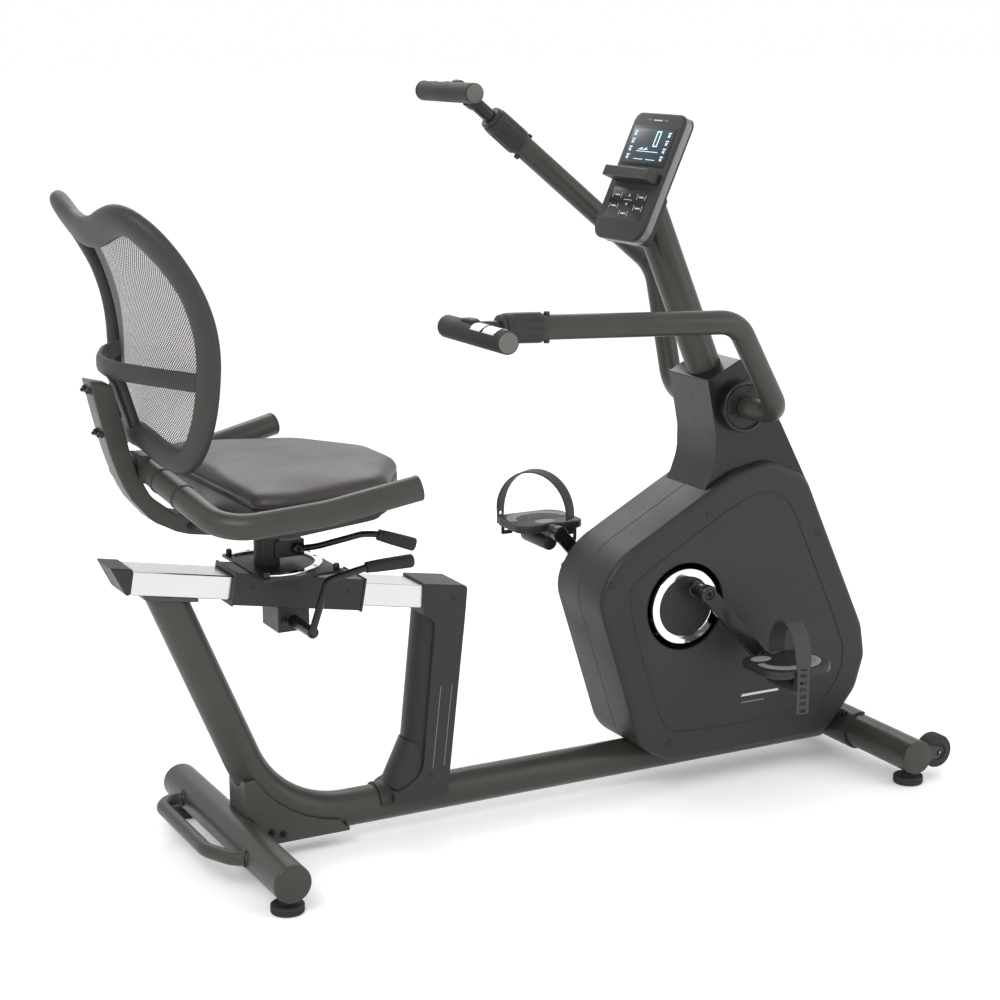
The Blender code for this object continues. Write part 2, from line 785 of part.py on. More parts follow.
thicken = back_mesh.modifiers.new("solidify", "SOLIDIFY")
thicken.thickness = 0.0025
thicken.offset = 0.0
finished(back_mesh, "back_mesh", "mesh_cloth")
on_swivel(back_mesh)

# ---- handlebar round the seat ----
bar_half = [
    (-0.120, 0.000, 0.648),
    (-0.120, 0.060, 0.640),
    (-0.088, 0.243, 0.596),
    (0.060, 0.260, 0.609),
    (0.197, 0.281, 0.637),
]
bar_points = list(reversed(mirrored(bar_half)[1:])) + bar_half
bar_path = fillet(bar_points, [0, 0.2, 0.062, 0.1, 0, 0.1, 0.062, 0.2, 0], step=radians(14))
handlebar = tube("seat_handlebar", bar_path, 0.019, resolution=5)
bracket = span_box("bar_bracket", (-0.1385, -0.020, 0.6460), (-0.112, 0.020, 0.6680))
join(handlebar, bracket)
finished(handlebar, "seat_handlebar", "painted_steel")
on_swivel(handlebar)

# ---- housing round the drive ----
housing_outline = fillet(
    [
        (0.8170, 0.5140),
        (0.8860, 0.5500),
        (0.9600, 0.5640),
        (1.0330, 0.5300),
        (1.0650, 0.4600),
        (1.1640, 0.2470),
        (1.1730, 0.1900),
        (1.1550, 0.1300),
        (1.0930, 0.0570),
        (0.7650, 0.0570),
        (0.7050, 0.0900),
        (0.6180, 0.3640),
        (0.6560, 0.4260),
    ],
    [0.10, 0.09, 0.05, 0.06, 0.08, 0.08, 0.05, 0.06, 0.05, 0.06, 0.07, 0.07, 0.12],
    closed=True,
)
NECK_WALL = 0.0035
neck_corners = [
    (0.8350, 0.7090),
    (0.8990, 0.7410),
    (0.9270, 0.7130),
    (0.9830, 0.6300),
    (1.0490, 0.5080),
    (0.8240, 0.5060),
    (0.8480, 0.5480),
    (0.8570, 0.5960),
    (0.8490, 0.6400),
]
neck_radii = [0.003, 0.004, 0.05, 0.15, 0.003, 0.003, 0.08, 0.10, 0.2]


def neck_section(amount):
    return [(p.x, p.y) for p in fillet(inset(neck_corners, amount), neck_radii, closed=True)]


def housing_section(amount):
    return [(p.x, p.y) for p in inset(housing_outline, amount)]


HOUSING_EDGE = 0.010
room_section = neck_section(-0.0004)
neck_room = cutter(loft("neck_room", [(-NECK_Y - 0.0004, room_section), (NECK_Y + 0.0004, room_section)]))
housing_tube_room = cutter(
    rod("housing_tube_room", (0.55, 0, MAIN_Z), (1.25, 0, MAIN_Z), TUBE_R + 0.0005, 32)
)
for word, side in SIDES:
    outer_sections = [(side * GAP / 2, housing_section(0.0))]
    inner_sections = [(-side * 0.01, housing_section(HOUSING_WALL))]
    for angle in (0, 30, 60, 90):
        drop = HOUSING_EDGE * (1 - sin(radians(angle)))
        back = HOUSING_EDGE * (1 - cos(radians(angle)))
        outer_sections.append((side * (HOUSING_Y - drop), housing_section(back)))
        inner_y = side * (HOUSING_Y - HOUSING_WALL - drop)
        inner_sections.append((inner_y, housing_section(HOUSING_WALL + back)))
    shell = loft("housing", outer_sections)
    cavity = cutter(loft("housing_cavity", inner_sections))
    disc_room = cutter(
        rod("disc_room", (CRANK_X, side * 0.05, CRANK_Z), (CRANK_X, side * 0.12, CRANK_Z), 0.076, 40)
    )
    cut(shell, cavity, neck_room, housing_tube_room, disc_room)
    finished(shell, f"housing_{word}", "dark_plastic")

# ---- neck cover with the round arm bosses ----
post_bottom = Vector((0.880, 0, 0.690))
post_axis = Vector((-0.392, 0, 0.920)).normalized()
post_hole = cutter(
    rod("post_hole", post_bottom - post_axis * 0.02, post_bottom + post_axis * 0.2, POST_R + 0.0006, 28)
)
neck_bottom = cutter(span_box("neck_bottom", (0.8500, -0.0540, 0.490), (1.0200, 0.0540, 0.515)))
for word, side in SIDES:
    neck = loft("neck", [(side * GAP / 2, neck_section(0.0)), (side * NECK_Y, neck_section(0.0))])
    ends = (side * (NECK_Y - 0.0017), side * 0.0775)
    join(neck, rod("arm_boss", (ARM_X, ends[0], ARM_Z), (ARM_X, ends[1], ARM_Z), 0.0435, 36))
    hollow_section = neck_section(NECK_WALL)
    hollow = cutter(
        loft("neck_cavity", [(-side * 0.01, hollow_section), (side * (NECK_Y - NECK_WALL), hollow_section)])
    )
    arm_room = cutter(
        rod("arm_room", (ARM_X, side * 0.068, ARM_Z), (ARM_X, side * 0.12, ARM_Z), 0.0382, 32)
    )
    axle_room = cutter(rod("axle_room", (ARM_X, side * 0.03, ARM_Z), (ARM_X, side * 0.12, ARM_Z), 0.0105, 20))
    cut(neck, arm_room, hollow, axle_room, post_hole, neck_bottom)
    finished(neck, f"neck_cover_{word}", "dark_plastic")

# ---- console post, upright and arm bearing in one weldment ----
console_foot = post_bottom + post_axis * 0.326
post_tube = rod("console_post", post_bottom - post_axis * 0.030, console_foot, POST_R, 28)
upright = span_box("upright", (0.8965, -0.024, 0.0890), (0.9245, 0.024, 0.6650))
arm_shell = rod("arm_shell", (ARM_X, -0.050, ARM_Z), (ARM_X, 0.050, ARM_Z), 0.022, 28)
join(post_tube, upright, arm_shell)
cut(post_tube, cutter(rod("arm_axle_bore", (ARM_X, -0.08, ARM_Z), (ARM_X, 0.08, ARM_Z), 0.0103, 20)))
finished(post_tube, "console_post", "painted_steel")
arm_axle = rod("arm_axle", (ARM_X, -0.0745, ARM_Z), (ARM_X, 0.0745, ARM_Z), 0.010, 20)
finished(arm_axle, "arm_axle", "bright_steel")

# ---- console, drawn on its own face: local x across, local y up the face, local z into the body ----
console_frame = empty("console_frame", (0, 0, 0), ROOT)
face_up = Vector((sin(CONSOLE_TILT), 0, cos(CONSOLE_TILT)))
face_in = Vector((cos(CONSOLE_TILT), 0, -sin(CONSOLE_TILT)))
console_frame.matrix_basis = Matrix(
    (
        (0, face_up.x, face_in.x, 0.697),
        (1, face_up.y, face_in.y, 0.0),
        (0, face_up.z, face_in.z, 0.975),
        (0, 0, 0, 1),
    )
)
face_outline = fillet(
    [(-0.075, -0.032), (0.075, -0.032), (0.075, 0.187), (-0.075, 0.187)],
    [0.030, 0.030, 0.018, 0.018],
    closed=True,
)
console_body = flat("console_body", [[(p.x, p.y) for p in face_outline]], 0.0, 0.022, plane="XY")
bevelled(console_body, 0.004, 2, radians(60))
socket = span_box("console_socket", (-0.034, -0.026, 0.018), (0.034, 0.062, 0.052))
boolean(console_body, cutter(socket), "UNION")
socket.parent = console_frame
post_socket = cutter(
    rod("post_socket", post_bottom + post_axis * 0.2, post_bottom + post_axis * 0.3264, POST_R + 0.0005, 28)
)
cut(console_body, post_socket)
finished(console_body, "console_body", "dark_plastic", console_frame)
screen = span_box("console_screen", (-0.061, 0.100, -0.0019), (0.061, 0.159, -0.0003))
finished(screen, "console_screen", "glass", console_frame, smooth=False)
shelf_outline = [
    (0.0670, -0.0003),
    (0.0760, -0.0003),
    (0.0760, -0.0215),
    (0.0845, -0.0215),
    (0.0845, -0.0255),
    (0.0670, -0.0255),
]
shelf = flat("console_shelf", [shelf_outline], -0.063, 0.063, plane="YZ")
bevelled(shelf, 0.0012, 1, radians(60))
finished(shelf, "console_shelf", "dark_plastic", console_frame, smooth=False)

# ---- swinging arms: each drawn rearward from its pivot, the left one swung up ----
ARM_BEND = (-0.121, 0.169)
ARM_END = (-0.473, 0.184)
GRIP_AT = (-0.608, 0.18975)
for word, side in SIDES:
    swing = ARM_SWING if side > 0 else 0.0
    pivot = empty(f"arm_pivot_{word}", (ARM_X, 0, ARM_Z), ROOT, (0, swing, 0))
    end = Vector((ARM_END[0], side * ARM_TUBE_Y, ARM_END[1]))
    grip_point = Vector((GRIP_AT[0], side * ARM_TUBE_Y, GRIP_AT[1]))
    outward = (grip_point - end).normalized()
    arm_path = fillet(
        [
            (0, side * 0.0793, 0),
            (0, side * 0.100, 0),
            (0.010, side * 0.160, 0),
            (ARM_BEND[0], side * ARM_TUBE_Y, ARM_BEND[1]),
            tuple(end),
        ],
        [0, 0, 0.046, 0.065, 0],
    )
    arm = tube(f"arm_tube_{word}", arm_path, ARM_TUBE_R, resolution=5)
    arm_bore = cutter(rod("arm_bore", end + outward * 0.01, end - outward * 0.120, STEM_R + 0.0004, 24))
    arm_bore.parent = pivot
    cut(arm, arm_bore)
    finished(arm, f"arm_tube_{word}", "painted_steel", pivot)

    hub = rod("arm_hub", (0, side * 0.0690, 0), (0, side * 0.0788, 0), 0.0376, 32)
    hub_bore = cutter(rod("hub_bore", (0, side * 0.05, 0), (0, side * 0.0750, 0), 0.0103, 20))
    hub_bore.parent = pivot
    cut(hub, hub_bore)
    finished(hub, f"arm_hub_{word}", "painted_steel", pivot)

    collar = rod("arm_collar", end + outward * GAP, end + outward * 0.072, 0.0232, 28)
    bevelled(collar, 0.003, 2)
    collar_bore = cutter(rod("collar_bore", end - outward * 0.02, end + outward * 0.09, STEM_R + 0.0004, 24))
    collar_bore.parent = pivot
    cut(collar, collar_bore)
    finished(collar, f"arm_collar_{word}", "dark_plastic", pivot)

    grip = rod(
        "grip",
        (grip_point.x, side * GRIP_IN, grip_point.z),
        (grip_point.x, side * GRIP_OUT, grip_point.z),
        GRIP_R,
        28,
    )
    bevelled(grip, 0.002, 2)
    stem = cutter(rod("stem", end - outward * 0.110, grip_point, STEM_R, 24))
    stem.parent = pivot
    boolean(grip, stem, "UNION")
    finished(grip, f"hand_grip_{word}", "rubber", pivot)

# ---- crank set ----
crank = empty("crank_centre", (CRANK_X, 0, CRANK_Z), ROOT)


def capsule(start, start_radius, end, end_radius, steps=8):
    """Outline of a bar with round ends of two sizes."""
    start, end = Vector(start), Vector(end)
    along = atan2((end - start).y, (end - start).x)
    lean = (start_radius - end_radius) / (end - start).length
    tilt = pi / 2 - lean
    points = []
    for k in range(steps + 1):
        angle = along + tilt + (2 * pi - 2 * tilt) * k / steps
        points.append((start.x + start_radius * cos(angle), start.y + start_radius * sin(angle)))
    for k in range(steps + 1):
        angle = along - tilt + 2 * tilt * k / steps
        points.append((end.x + end_radius * cos(angle), end.y + end_radius * sin(angle)))
    return points


def child_cutter(obj, parent):
    cutter(obj)
    obj.parent = parent
    return obj


crank_axle = rod("crank_axle", (0, -0.0725, 0), (0, 0.0725, 0), 0.010, 24)
finished(crank_axle, "crank_axle", "bright_steel", crank)

pulley = rod("drive_pulley", (0, 0.026, 0), (0, 0.042, 0), PULLEY_R, 48)
cut(pulley, child_cutter(rod("pulley_bore", (0, 0, 0), (0, 0.08, 0), 0.0103, 24), crank))
for k in range(5):
    angle = 2 * pi * k / 5
    spot = (0.062 * cos(angle), 0.062 * sin(angle))
    window = rod("pulley_window", (spot[0], 0, spot[1]), (spot[0], 0.08, spot[1]), 0.022, 16)
    cut(pulley, child_cutter(window, crank))
finished(pulley, "drive_pulley", "dark_plastic", crank)

for word, side in SIDES:
    flip = -side
    hub_at = (flip * CRANK_HUB[0], flip * CRANK_HUB[1])
    end_at = (flip * CRANK_END[0], flip * CRANK_END[1])
    disc = rod("crank_disc", (0, side * 0.0728, 0), (0, side * 0.0810, 0), DISC_R, 40)
    stub_ends = [(hub_at[0], side * y, hub_at[1]) for y in (0.078, 0.1108)]
    stub = rod("crank_stub", stub_ends[0], stub_ends[1], 0.0110, 24)
    boolean(disc, child_cutter(stub, crank), "UNION")
    finished(disc, f"crank_disc_{word}", "painted_steel", crank)

    low, high = sorted((side * 0.1111, side * 0.1235))
    arm = flat("crank_arm", [capsule(hub_at, 0.0145, end_at, 0.0125)], low, high)
    bevelled(arm, 0.002, 1, radians(60))
    spindle_ends = [(end_at[0], side * y, end_at[1]) for y in (0.118, 0.232)]
    spindle = rod("spindle", spindle_ends[0], spindle_ends[1], 0.0062, 20)
    boolean(arm, child_cutter(spindle, crank), "UNION")
    finished(arm, f"crank_arm_{word}", "black_steel", crank)

# ---- pedals and straps ----
PEDAL_Y = 0.192
PEDAL_HALF_LENGTH = 0.065
PEDAL_HALF_WIDTH = 0.054
STRAP_HALF = 0.0145
STRAP_RISE = {"right": 0.084, "left": 0.096}
STRAP_SLANT = {"right": radians(12), "left": radians(34)}
STRAP_TAIL = {"right": -0.060, "left": -0.004}
for word, side in SIDES:
    flip = -side
    spindle_at = (CRANK_X + flip * CRANK_END[0], 0, CRANK_Z + flip * CRANK_END[1])
    pedal_centre = empty(f"pedal_centre_{word}", spindle_at, ROOT)
    pad_outline = fillet(
        [
            (-PEDAL_HALF_LENGTH, -PEDAL_HALF_WIDTH),
            (-0.024, -PEDAL_HALF_WIDTH),
            (0.0, -PEDAL_HALF_WIDTH + 0.009),
            (0.024, -PEDAL_HALF_WIDTH),
            (PEDAL_HALF_LENGTH, -PEDAL_HALF_WIDTH),
            (PEDAL_HALF_LENGTH, PEDAL_HALF_WIDTH),
            (-PEDAL_HALF_LENGTH, PEDAL_HALF_WIDTH),
        ],
        [0.022, 0.02, 0.02, 0.02, 0.022, 0.022, 0.022],
        step=radians(20),
        closed=True,
    )
    pad_outline = [(p.x, side * (PEDAL_Y + p.y)) for p in pad_outline]
    if side < 0:
        pad_outline.reverse()
    pad = flat("pedal", [pad_outline], 0.0, 0.0142, plane="XY")
    barrel = rod("barrel", (0, side * 0.1275, 0), (0, side * 0.2400, 0), 0.0125, 24)
    weight = rod("weight", (0, side * 0.1480, -0.0225), (0, side * 0.2360, -0.0225), 0.0140, 24)
    tab_x = 0.0540 * tan(STRAP_SLANT[word])
    outer_tab = span_box(
        "outer_tab",
        (-tab_x - 0.010, min(side * 0.2385, side * 0.2435), -0.022),
        (-tab_x + 0.010, max(side * 0.2385, side * 0.2435), 0.006),
    )
    inner_tab = span_box(
        "inner_tab",
        (tab_x - 0.010, min(side * 0.1400, side * 0.1435), -0.022),
        (tab_x + 0.010, max(side * 0.1400, side * 0.1435), 0.006),
    )
    for piece in (barrel, weight, outer_tab, inner_tab):
        boolean(pad, child_cutter(piece, pedal_centre), "UNION")
    spindle_bore = rod("spindle_bore", (0, side * 0.12, 0), (0, side * 0.2352, 0), 0.0066, 20)
    cut(pad, child_cutter(spindle_bore, pedal_centre))
    finished(pad, f"pedal_{word}", "dark_plastic", pedal_centre)

    rise, slant = STRAP_RISE[word], STRAP_SLANT[word]
    stretch = 1 / cos(slant)
    reach = (0.0530 + STRAP_HALF * sin(slant)) * stretch
    inner = -0.0530 * stretch
    middle, span = (reach + inner) / 2, (reach - inner) / 2
    centre_line = [Vector((reach, STRAP_TAIL[word]))]
    for k in range(13):
        angle = pi * k / 12
        centre_line.append(Vector((middle + span * cos(angle), 0.022 + (rise - 0.022) * sin(angle))))
    centre_line.append(Vector((inner, 0.0165)))
    ribbon = []
    for sign in (1, -1):
        row = []
        for k, p in enumerate(centre_line):
            before = centre_line[max(k - 1, 0)]
            after = centre_line[min(k + 1, len(centre_line) - 1)]
            run = (after - before).normalized()
            row.append((side * (p.x - run.y * 0.0015 * sign), p.y + run.x * 0.0015 * sign))
        ribbon += row if sign > 0 else row[::-1]
    strap = flat("strap", [ribbon], -STRAP_HALF, STRAP_HALF, plane="YZ")
    strap.data.transform(Matrix.Rotation(side * slant, 4, "Z"))
    strap.data.transform(Matrix.Translation((0, side * 0.1963, 0)))
    finished(strap, f"pedal_strap_{word}", "rubber", pedal_centre)

# ---- drive bracket, flywheel, belt and magnet brake ----
side_plate_outline = [
    (0.850, 0.0832),
    (1.090, 0.0832),
    (1.062, 0.228),
    (1.030, 0.342),
    (0.996, 0.350),
    (0.800, 0.356),
    (0.774, 0.352),
    (0.762, 0.331),
    (0.768, 0.306),
]
drive_bracket = flat("drive_bracket", [side_plate_outline], -0.036, -0.031)
foot_flange = span_box("foot_flange", (0.850, -0.033, 0.0829), (1.090, 0.022, 0.0885))
crank_shell = rod("crank_shell", (CRANK_X, -0.035, CRANK_Z), (CRANK_X, 0.020, CRANK_Z), 0.021, 28)
flywheel_pin = rod(
    "flywheel_pin", (FLYWHEEL_X, -0.034, FLYWHEEL_Z), (FLYWHEEL_X, 0.050, FLYWHEEL_Z), 0.008, 20
)
brake_pin = rod("brake_pin", (1.014, -0.034, 0.330), (1.014, 0.016, 0.330), 0.005, 16)
join(drive_bracket, foot_flange, crank_shell, flywheel_pin, brake_pin)
cut(drive_bracket, cutter(rod("crank_bore", (CRANK_X, -0.06, CRANK_Z), (CRANK_X, 0.06, CRANK_Z), 0.0103, 24)))
finished(drive_bracket, "drive_bracket", "painted_steel")

flywheel_centre = empty("flywheel_centre", (FLYWHEEL_X, 0, FLYWHEEL_Z), ROOT)
flywheel = rod("flywheel", (0, -0.020, 0), (0, 0.010, 0), FLYWHEEL_R, 48)
bevelled(flywheel, 0.003, 1)
small_pulley = rod("small_pulley", (0, 0.005, 0), (0, 0.044, 0), SMALL_PULLEY_R, 28)
small_pulley = child_cutter(small_pulley, flywheel_centre)
boolean(flywheel, small_pulley, "UNION")
cut(flywheel, child_cutter(rod("flywheel_bore", (0, -0.05, 0), (0, 0.06, 0), 0.0083, 20), flywheel_centre))
finished(flywheel, "flywheel", "cast_iron", flywheel_centre)


def belt_outline(extra):
    """Closed line round both pulleys at a distance extra from their rims."""
    run = Vector((FLYWHEEL_X - CRANK_X, FLYWHEEL_Z - CRANK_Z))
    heading = atan2(run.y, run.x)
    wrap = pi / 2 - (PULLEY_R - SMALL_PULLEY_R) / run.length
    points = []
    for k in range(25):
        angle = heading + wrap + (2 * pi - 2 * wrap) * k / 24
        reach = PULLEY_R + extra
        points.append((CRANK_X + reach * cos(angle), CRANK_Z + reach * sin(angle)))
    for k in range(9):
        angle = heading - wrap + 2 * wrap * k / 8
        reach = SMALL_PULLEY_R + extra
        points.append((FLYWHEEL_X + reach * cos(angle), FLYWHEEL_Z + reach * sin(angle)))
    return points


belt = flat("drive_belt", [belt_outline(0.0036), belt_outline(0.0008)[::-1]], 0.0275, 0.0405)
finished(belt, "drive_belt", "rubber")

brake_outline = []
for k in range(10):
    angle = radians(98 + 5 * k)
    brake_outline.append((FLYWHEEL_X + 0.116 * cos(angle), FLYWHEEL_Z + 0.116 * sin(angle)))
brake_outline.reverse()
for k in range(10):
    angle = radians(98 + 5 * k)
    brake_outline.append((FLYWHEEL_X + 0.1035 * cos(angle), FLYWHEEL_Z + 0.1035 * sin(angle)))
brake = flat("magnet_brake", [brake_outline], -0.024, 0.014)
join(brake, rod("brake_eye", (1.014, -0.0305, 0.330), (1.014, 0.014, 0.330), 0.0090, 20))
cut(brake, cutter(rod("brake_bore", (1.014, -0.05, 0.330), (1.014, 0.03, 0.330), 0.0053, 16)))
finished(brake, "magnet_brake", "black_steel")

bpy.context.view_layer.update()
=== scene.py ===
"""Looks of the recumbent exercise bike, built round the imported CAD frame. Lengths are metres."""

import json
from math import atan2, cos, pi, radians, sin, sqrt, tan

import bmesh
import bpy
from mathutils import Matrix, Vector, noise

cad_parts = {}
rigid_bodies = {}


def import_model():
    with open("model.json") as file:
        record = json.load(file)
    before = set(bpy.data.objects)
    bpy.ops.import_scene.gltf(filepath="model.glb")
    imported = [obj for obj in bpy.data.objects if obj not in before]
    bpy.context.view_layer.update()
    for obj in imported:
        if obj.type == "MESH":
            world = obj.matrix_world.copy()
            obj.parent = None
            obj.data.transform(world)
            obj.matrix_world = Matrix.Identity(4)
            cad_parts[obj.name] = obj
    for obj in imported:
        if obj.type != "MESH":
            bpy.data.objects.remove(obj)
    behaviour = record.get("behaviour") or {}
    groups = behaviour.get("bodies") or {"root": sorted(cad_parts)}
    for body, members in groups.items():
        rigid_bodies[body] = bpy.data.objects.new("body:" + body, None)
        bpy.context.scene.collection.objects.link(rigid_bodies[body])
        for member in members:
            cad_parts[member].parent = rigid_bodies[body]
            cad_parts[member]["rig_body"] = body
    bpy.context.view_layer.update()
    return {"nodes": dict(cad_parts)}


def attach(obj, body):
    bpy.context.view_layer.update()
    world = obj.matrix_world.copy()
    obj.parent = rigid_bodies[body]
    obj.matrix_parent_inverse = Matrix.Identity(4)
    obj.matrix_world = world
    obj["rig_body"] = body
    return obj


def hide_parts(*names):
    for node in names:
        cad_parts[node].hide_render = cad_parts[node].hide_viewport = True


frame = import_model()
NODES = frame["nodes"]

# Shapes are written in bike coordinates (x = 0 at the rear cross tube) and shifted to the row frame.
SHIFT = Matrix.Translation((-0.5186, 0, 0))
SIDES = (("right", -1), ("left", 1))


# ---------------------------------------------------------------- materials
def new_material(name):
    material = bpy.data.materials.new(name)
    material.use_nodes = True
    return material, material.node_tree


def add_node(tree, kind, **values):
    """A new node with its sockets set; an underscore in a name stands for a space."""
    node = tree.nodes.new(f"ShaderNode{kind}")
    set_sockets(node, **values)
    return node


def set_sockets(node, **values):
    for name, value in values.items():
        node.inputs[name.replace("_", " ")].default_value = value


def add_relief(tree, height, strength, distance):
    """Lets a height roughen the surface of the tree's shader."""
    relief = add_node(tree, "Bump", Strength=strength, Distance=distance)
    tree.links.new(height, relief.inputs["Height"])
    tree.links.new(relief.outputs["Normal"], tree.nodes["Principled BSDF"].inputs["Normal"])


def surface(
    name,
    colour,
    rough,
    metallic=0.0,
    grain=900.0,
    bump=0.08,
    mottle=0.12,
    wear=0.0,
    coat=0.0,
    rough_spread=0.08,
    stretch=(1, 1, 1),
    voronoi=False,
):
    """Painted, moulded, cast or polished surface with grain, mottling, uneven gloss and worn edges."""
    material, tree = new_material(name)
    link = tree.links.new
    shader = tree.nodes["Principled BSDF"]
    set_sockets(shader, Metallic=metallic, Specular_IOR_Level=0.32 if metallic < 0.5 else 0.5)
    if coat:
        set_sockets(shader, Coat_Weight=coat, Coat_Roughness=0.12)
    place = add_node(tree, "TexCoord")
    scaled = add_node(tree, "Mapping", Scale=stretch)
    link(place.outputs["Object"], scaled.inputs["Vector"])
    fine = add_node(tree, "TexVoronoi" if voronoi else "TexNoise", Scale=grain)
    link(scaled.outputs["Vector"], fine.inputs["Vector"])
    broad = add_node(tree, "TexNoise", Scale=9.0, Detail=5.0)
    link(place.outputs["Object"], broad.inputs["Vector"])
    tint = add_node(tree, "ValToRGB")
    for stop, position, sign in zip(tint.color_ramp.elements, (0.35, 0.68), (-1, 1)):
        stop.position = position
        stop.color = (*[min(1.0, c * (1 + sign * mottle)) for c in colour], 1)
    link(broad.outputs["Fac"], tint.inputs["Fac"])
    shade = tint.outputs["Color"]
    if wear:
        geometry = add_node(tree, "NewGeometry")
        edge = add_node(tree, "MapRange", From_Min=0.53, From_Max=0.62, To_Max=wear)
        link(geometry.outputs["Pointiness"], edge.inputs["Value"])
        worn = tree.nodes.new("ShaderNodeMix")
        worn.data_type = "RGBA"
        set_sockets(worn, B=(*[min(1.0, c * 1.9 + 0.03) for c in colour], 1))
        link(edge.outputs["Result"], worn.inputs["Factor"])
        link(shade, worn.inputs["A"])
        shade = worn.outputs["Result"]
    link(shade, shader.inputs["Base Color"])
    gloss = add_node(
        tree,
        "MapRange",
        From_Min=0.3,
        From_Max=0.7,
        To_Min=max(0.02, rough - rough_spread),
        To_Max=rough + rough_spread,
    )
    link(broad.outputs["Fac"], gloss.inputs["Value"])
    link(gloss.outputs["Result"], shader.inputs["Roughness"])
    add_relief(tree, fine.outputs["Distance" if voronoi else "Fac"], bump, 0.0006)
    return material


def woven_mesh(name, colour):
    """Open knitted mesh: round holes in staggered rows let the background through."""
    material, tree = new_material(name)
    shader = tree.nodes["Principled BSDF"]
    set_sockets(shader, Base_Color=(*colour, 1), Roughness=0.75)
    place = add_node(tree, "TexCoord")
    apart = add_node(tree, "SeparateXYZ")
    tree.links.new(place.outputs["Object"], apart.inputs["Vector"])

    def math(operation, first, second=None):
        step = tree.nodes.new("ShaderNodeMath")
        step.operation = operation
        for socket, value in zip(step.inputs, (first, second)):
            if isinstance(value, (int, float)):
                socket.default_value = value
            elif value is not None:
                tree.links.new(value, socket)
        return step.outputs[0]

    across = math("SINE", math("MULTIPLY", apart.outputs["Y"], 2 * pi / WEAVE_PITCH))
    up = math("SINE", math("MULTIPLY", apart.outputs["Z"], 2 * pi / WEAVE_PITCH))
    weave = math("MULTIPLY", across, up)
    tree.links.new(math("LESS_THAN", weave, 0.3), shader.inputs["Alpha"])
    add_relief(tree, weave, 0.5, 0.0008)
    return material


def glow(name, colour, strength):
    """Lit segments of the screen."""
    material, tree = new_material(name)
    shade = (*colour, 1)
    shader = tree.nodes["Principled BSDF"]
    set_sockets(shader, Base_Color=shade, Emission_Color=shade, Emission_Strength=strength)
    return material


WEAVE_PITCH = 0.0052
PAINT = surface("satin_paint", (0.037, 0.04, 0.034), 0.36, 0.12, 1400, 0.1, 0.1, 0.25)
MOULD = surface("housing_plastic", (0.019, 0.0205, 0.018), 0.46, 0, 1800, 0.16, 0.1, 0.2)
GLOSS = surface("gloss_plastic", (0.007, 0.0074, 0.0068), 0.3, 0, 500, 0.02, 0.1, 0.15, coat=0.12)
RIM = surface("rim_plastic", (0.027, 0.029, 0.025), 0.5, 0, 1500, 0.14, 0.08, 0.15)
BLACK = surface("black_enamel", (0.008, 0.008, 0.0085), 0.3, 0.1, 700, 0.03, 0.1, 0.2, coat=0.2)
DISC = surface("disc_black", (0.02, 0.021, 0.019), 0.38, 0.2, 1200, 0.06, 0.1)
ALLOY = surface(
    "polished_rail",
    (0.62, 0.62, 0.63),
    0.24,
    1.0,
    900,
    0.02,
    0.03,
    stretch=(0.02, 1, 1),
    rough_spread=0.05,
)
CHROME = surface("chrome_plate", (0.92, 0.92, 0.93), 0.09, 1.0, 300, 0.01, 0.02, rough_spread=0.03)
STEEL = surface("zinc_steel", (0.45, 0.45, 0.46), 0.32, 1.0, 1500, 0.06, 0.1)
RUBBER = surface("black_rubber", (0.022, 0.022, 0.022), 0.72, 0, 1600, 0.22, 0.15)
FOAM = surface("grip_rubber", (0.017, 0.018, 0.016), 0.62, 0, 2200, 0.25, 0.12)
LEATHER = surface("seat_leather", (0.036, 0.031, 0.0295), 0.42, 0, 620, 0.22, 0.14, voronoi=True)
THREAD = surface("stitching", (0.045, 0.038, 0.037), 0.7, 0, 2500, 0.2, 0.1)
PAD = surface("pedal_pad", (0.24, 0.24, 0.23), 0.55, 0, 1300, 0.2, 0.08)
STRAP = surface("strap_rubber", (0.04, 0.042, 0.038), 0.6, 0, 1500, 0.16, 0.12)
CAP_GREY = surface("grip_cap", (0.1, 0.105, 0.095), 0.45, 0, 1300, 0.12, 0.08)
SILVER = surface("console_band", (0.17, 0.175, 0.165), 0.38, 0.5, 1500, 0.06, 0.06)
KEYPAD = surface("keypad_film", (0.01, 0.01, 0.01), 0.3, 0, 900, 0.04, 0.1)
LCD = surface("lcd_window", (0.02, 0.028, 0.036), 0.25, 0, 400, 0.01, 0.06, coat=0.05)
GLYPH = surface("white_print", (0.55, 0.55, 0.54), 0.55, 0, 1500, 0.05, 0.05)
ACCENT = surface("red_print", (0.42, 0.02, 0.03), 0.5, 0, 1500, 0.05, 0.08)
LINE = surface("grey_print", (0.16, 0.16, 0.155), 0.5, 0, 1500, 0.05, 0.08)
IRON = surface("machined_iron", (0.1, 0.1, 0.105), 0.42, 0.9, 900, 0.1, 0.12)
SEGMENT = glow("lcd_segment", (0.42, 0.68, 0.86), 0.9)
BRACKET = surface("bracket_paint", (0.021, 0.022, 0.02), 0.42, 0.1, 1400, 0.1, 0.1, 0.25)
SIDE_LEATHER = surface("side_leather", (0.011, 0.0115, 0.0105), 0.42, 0, 620, 0.22, 0.12, voronoi=True)
MESH = woven_mesh("back_weave", (0.105, 0.094, 0.094))

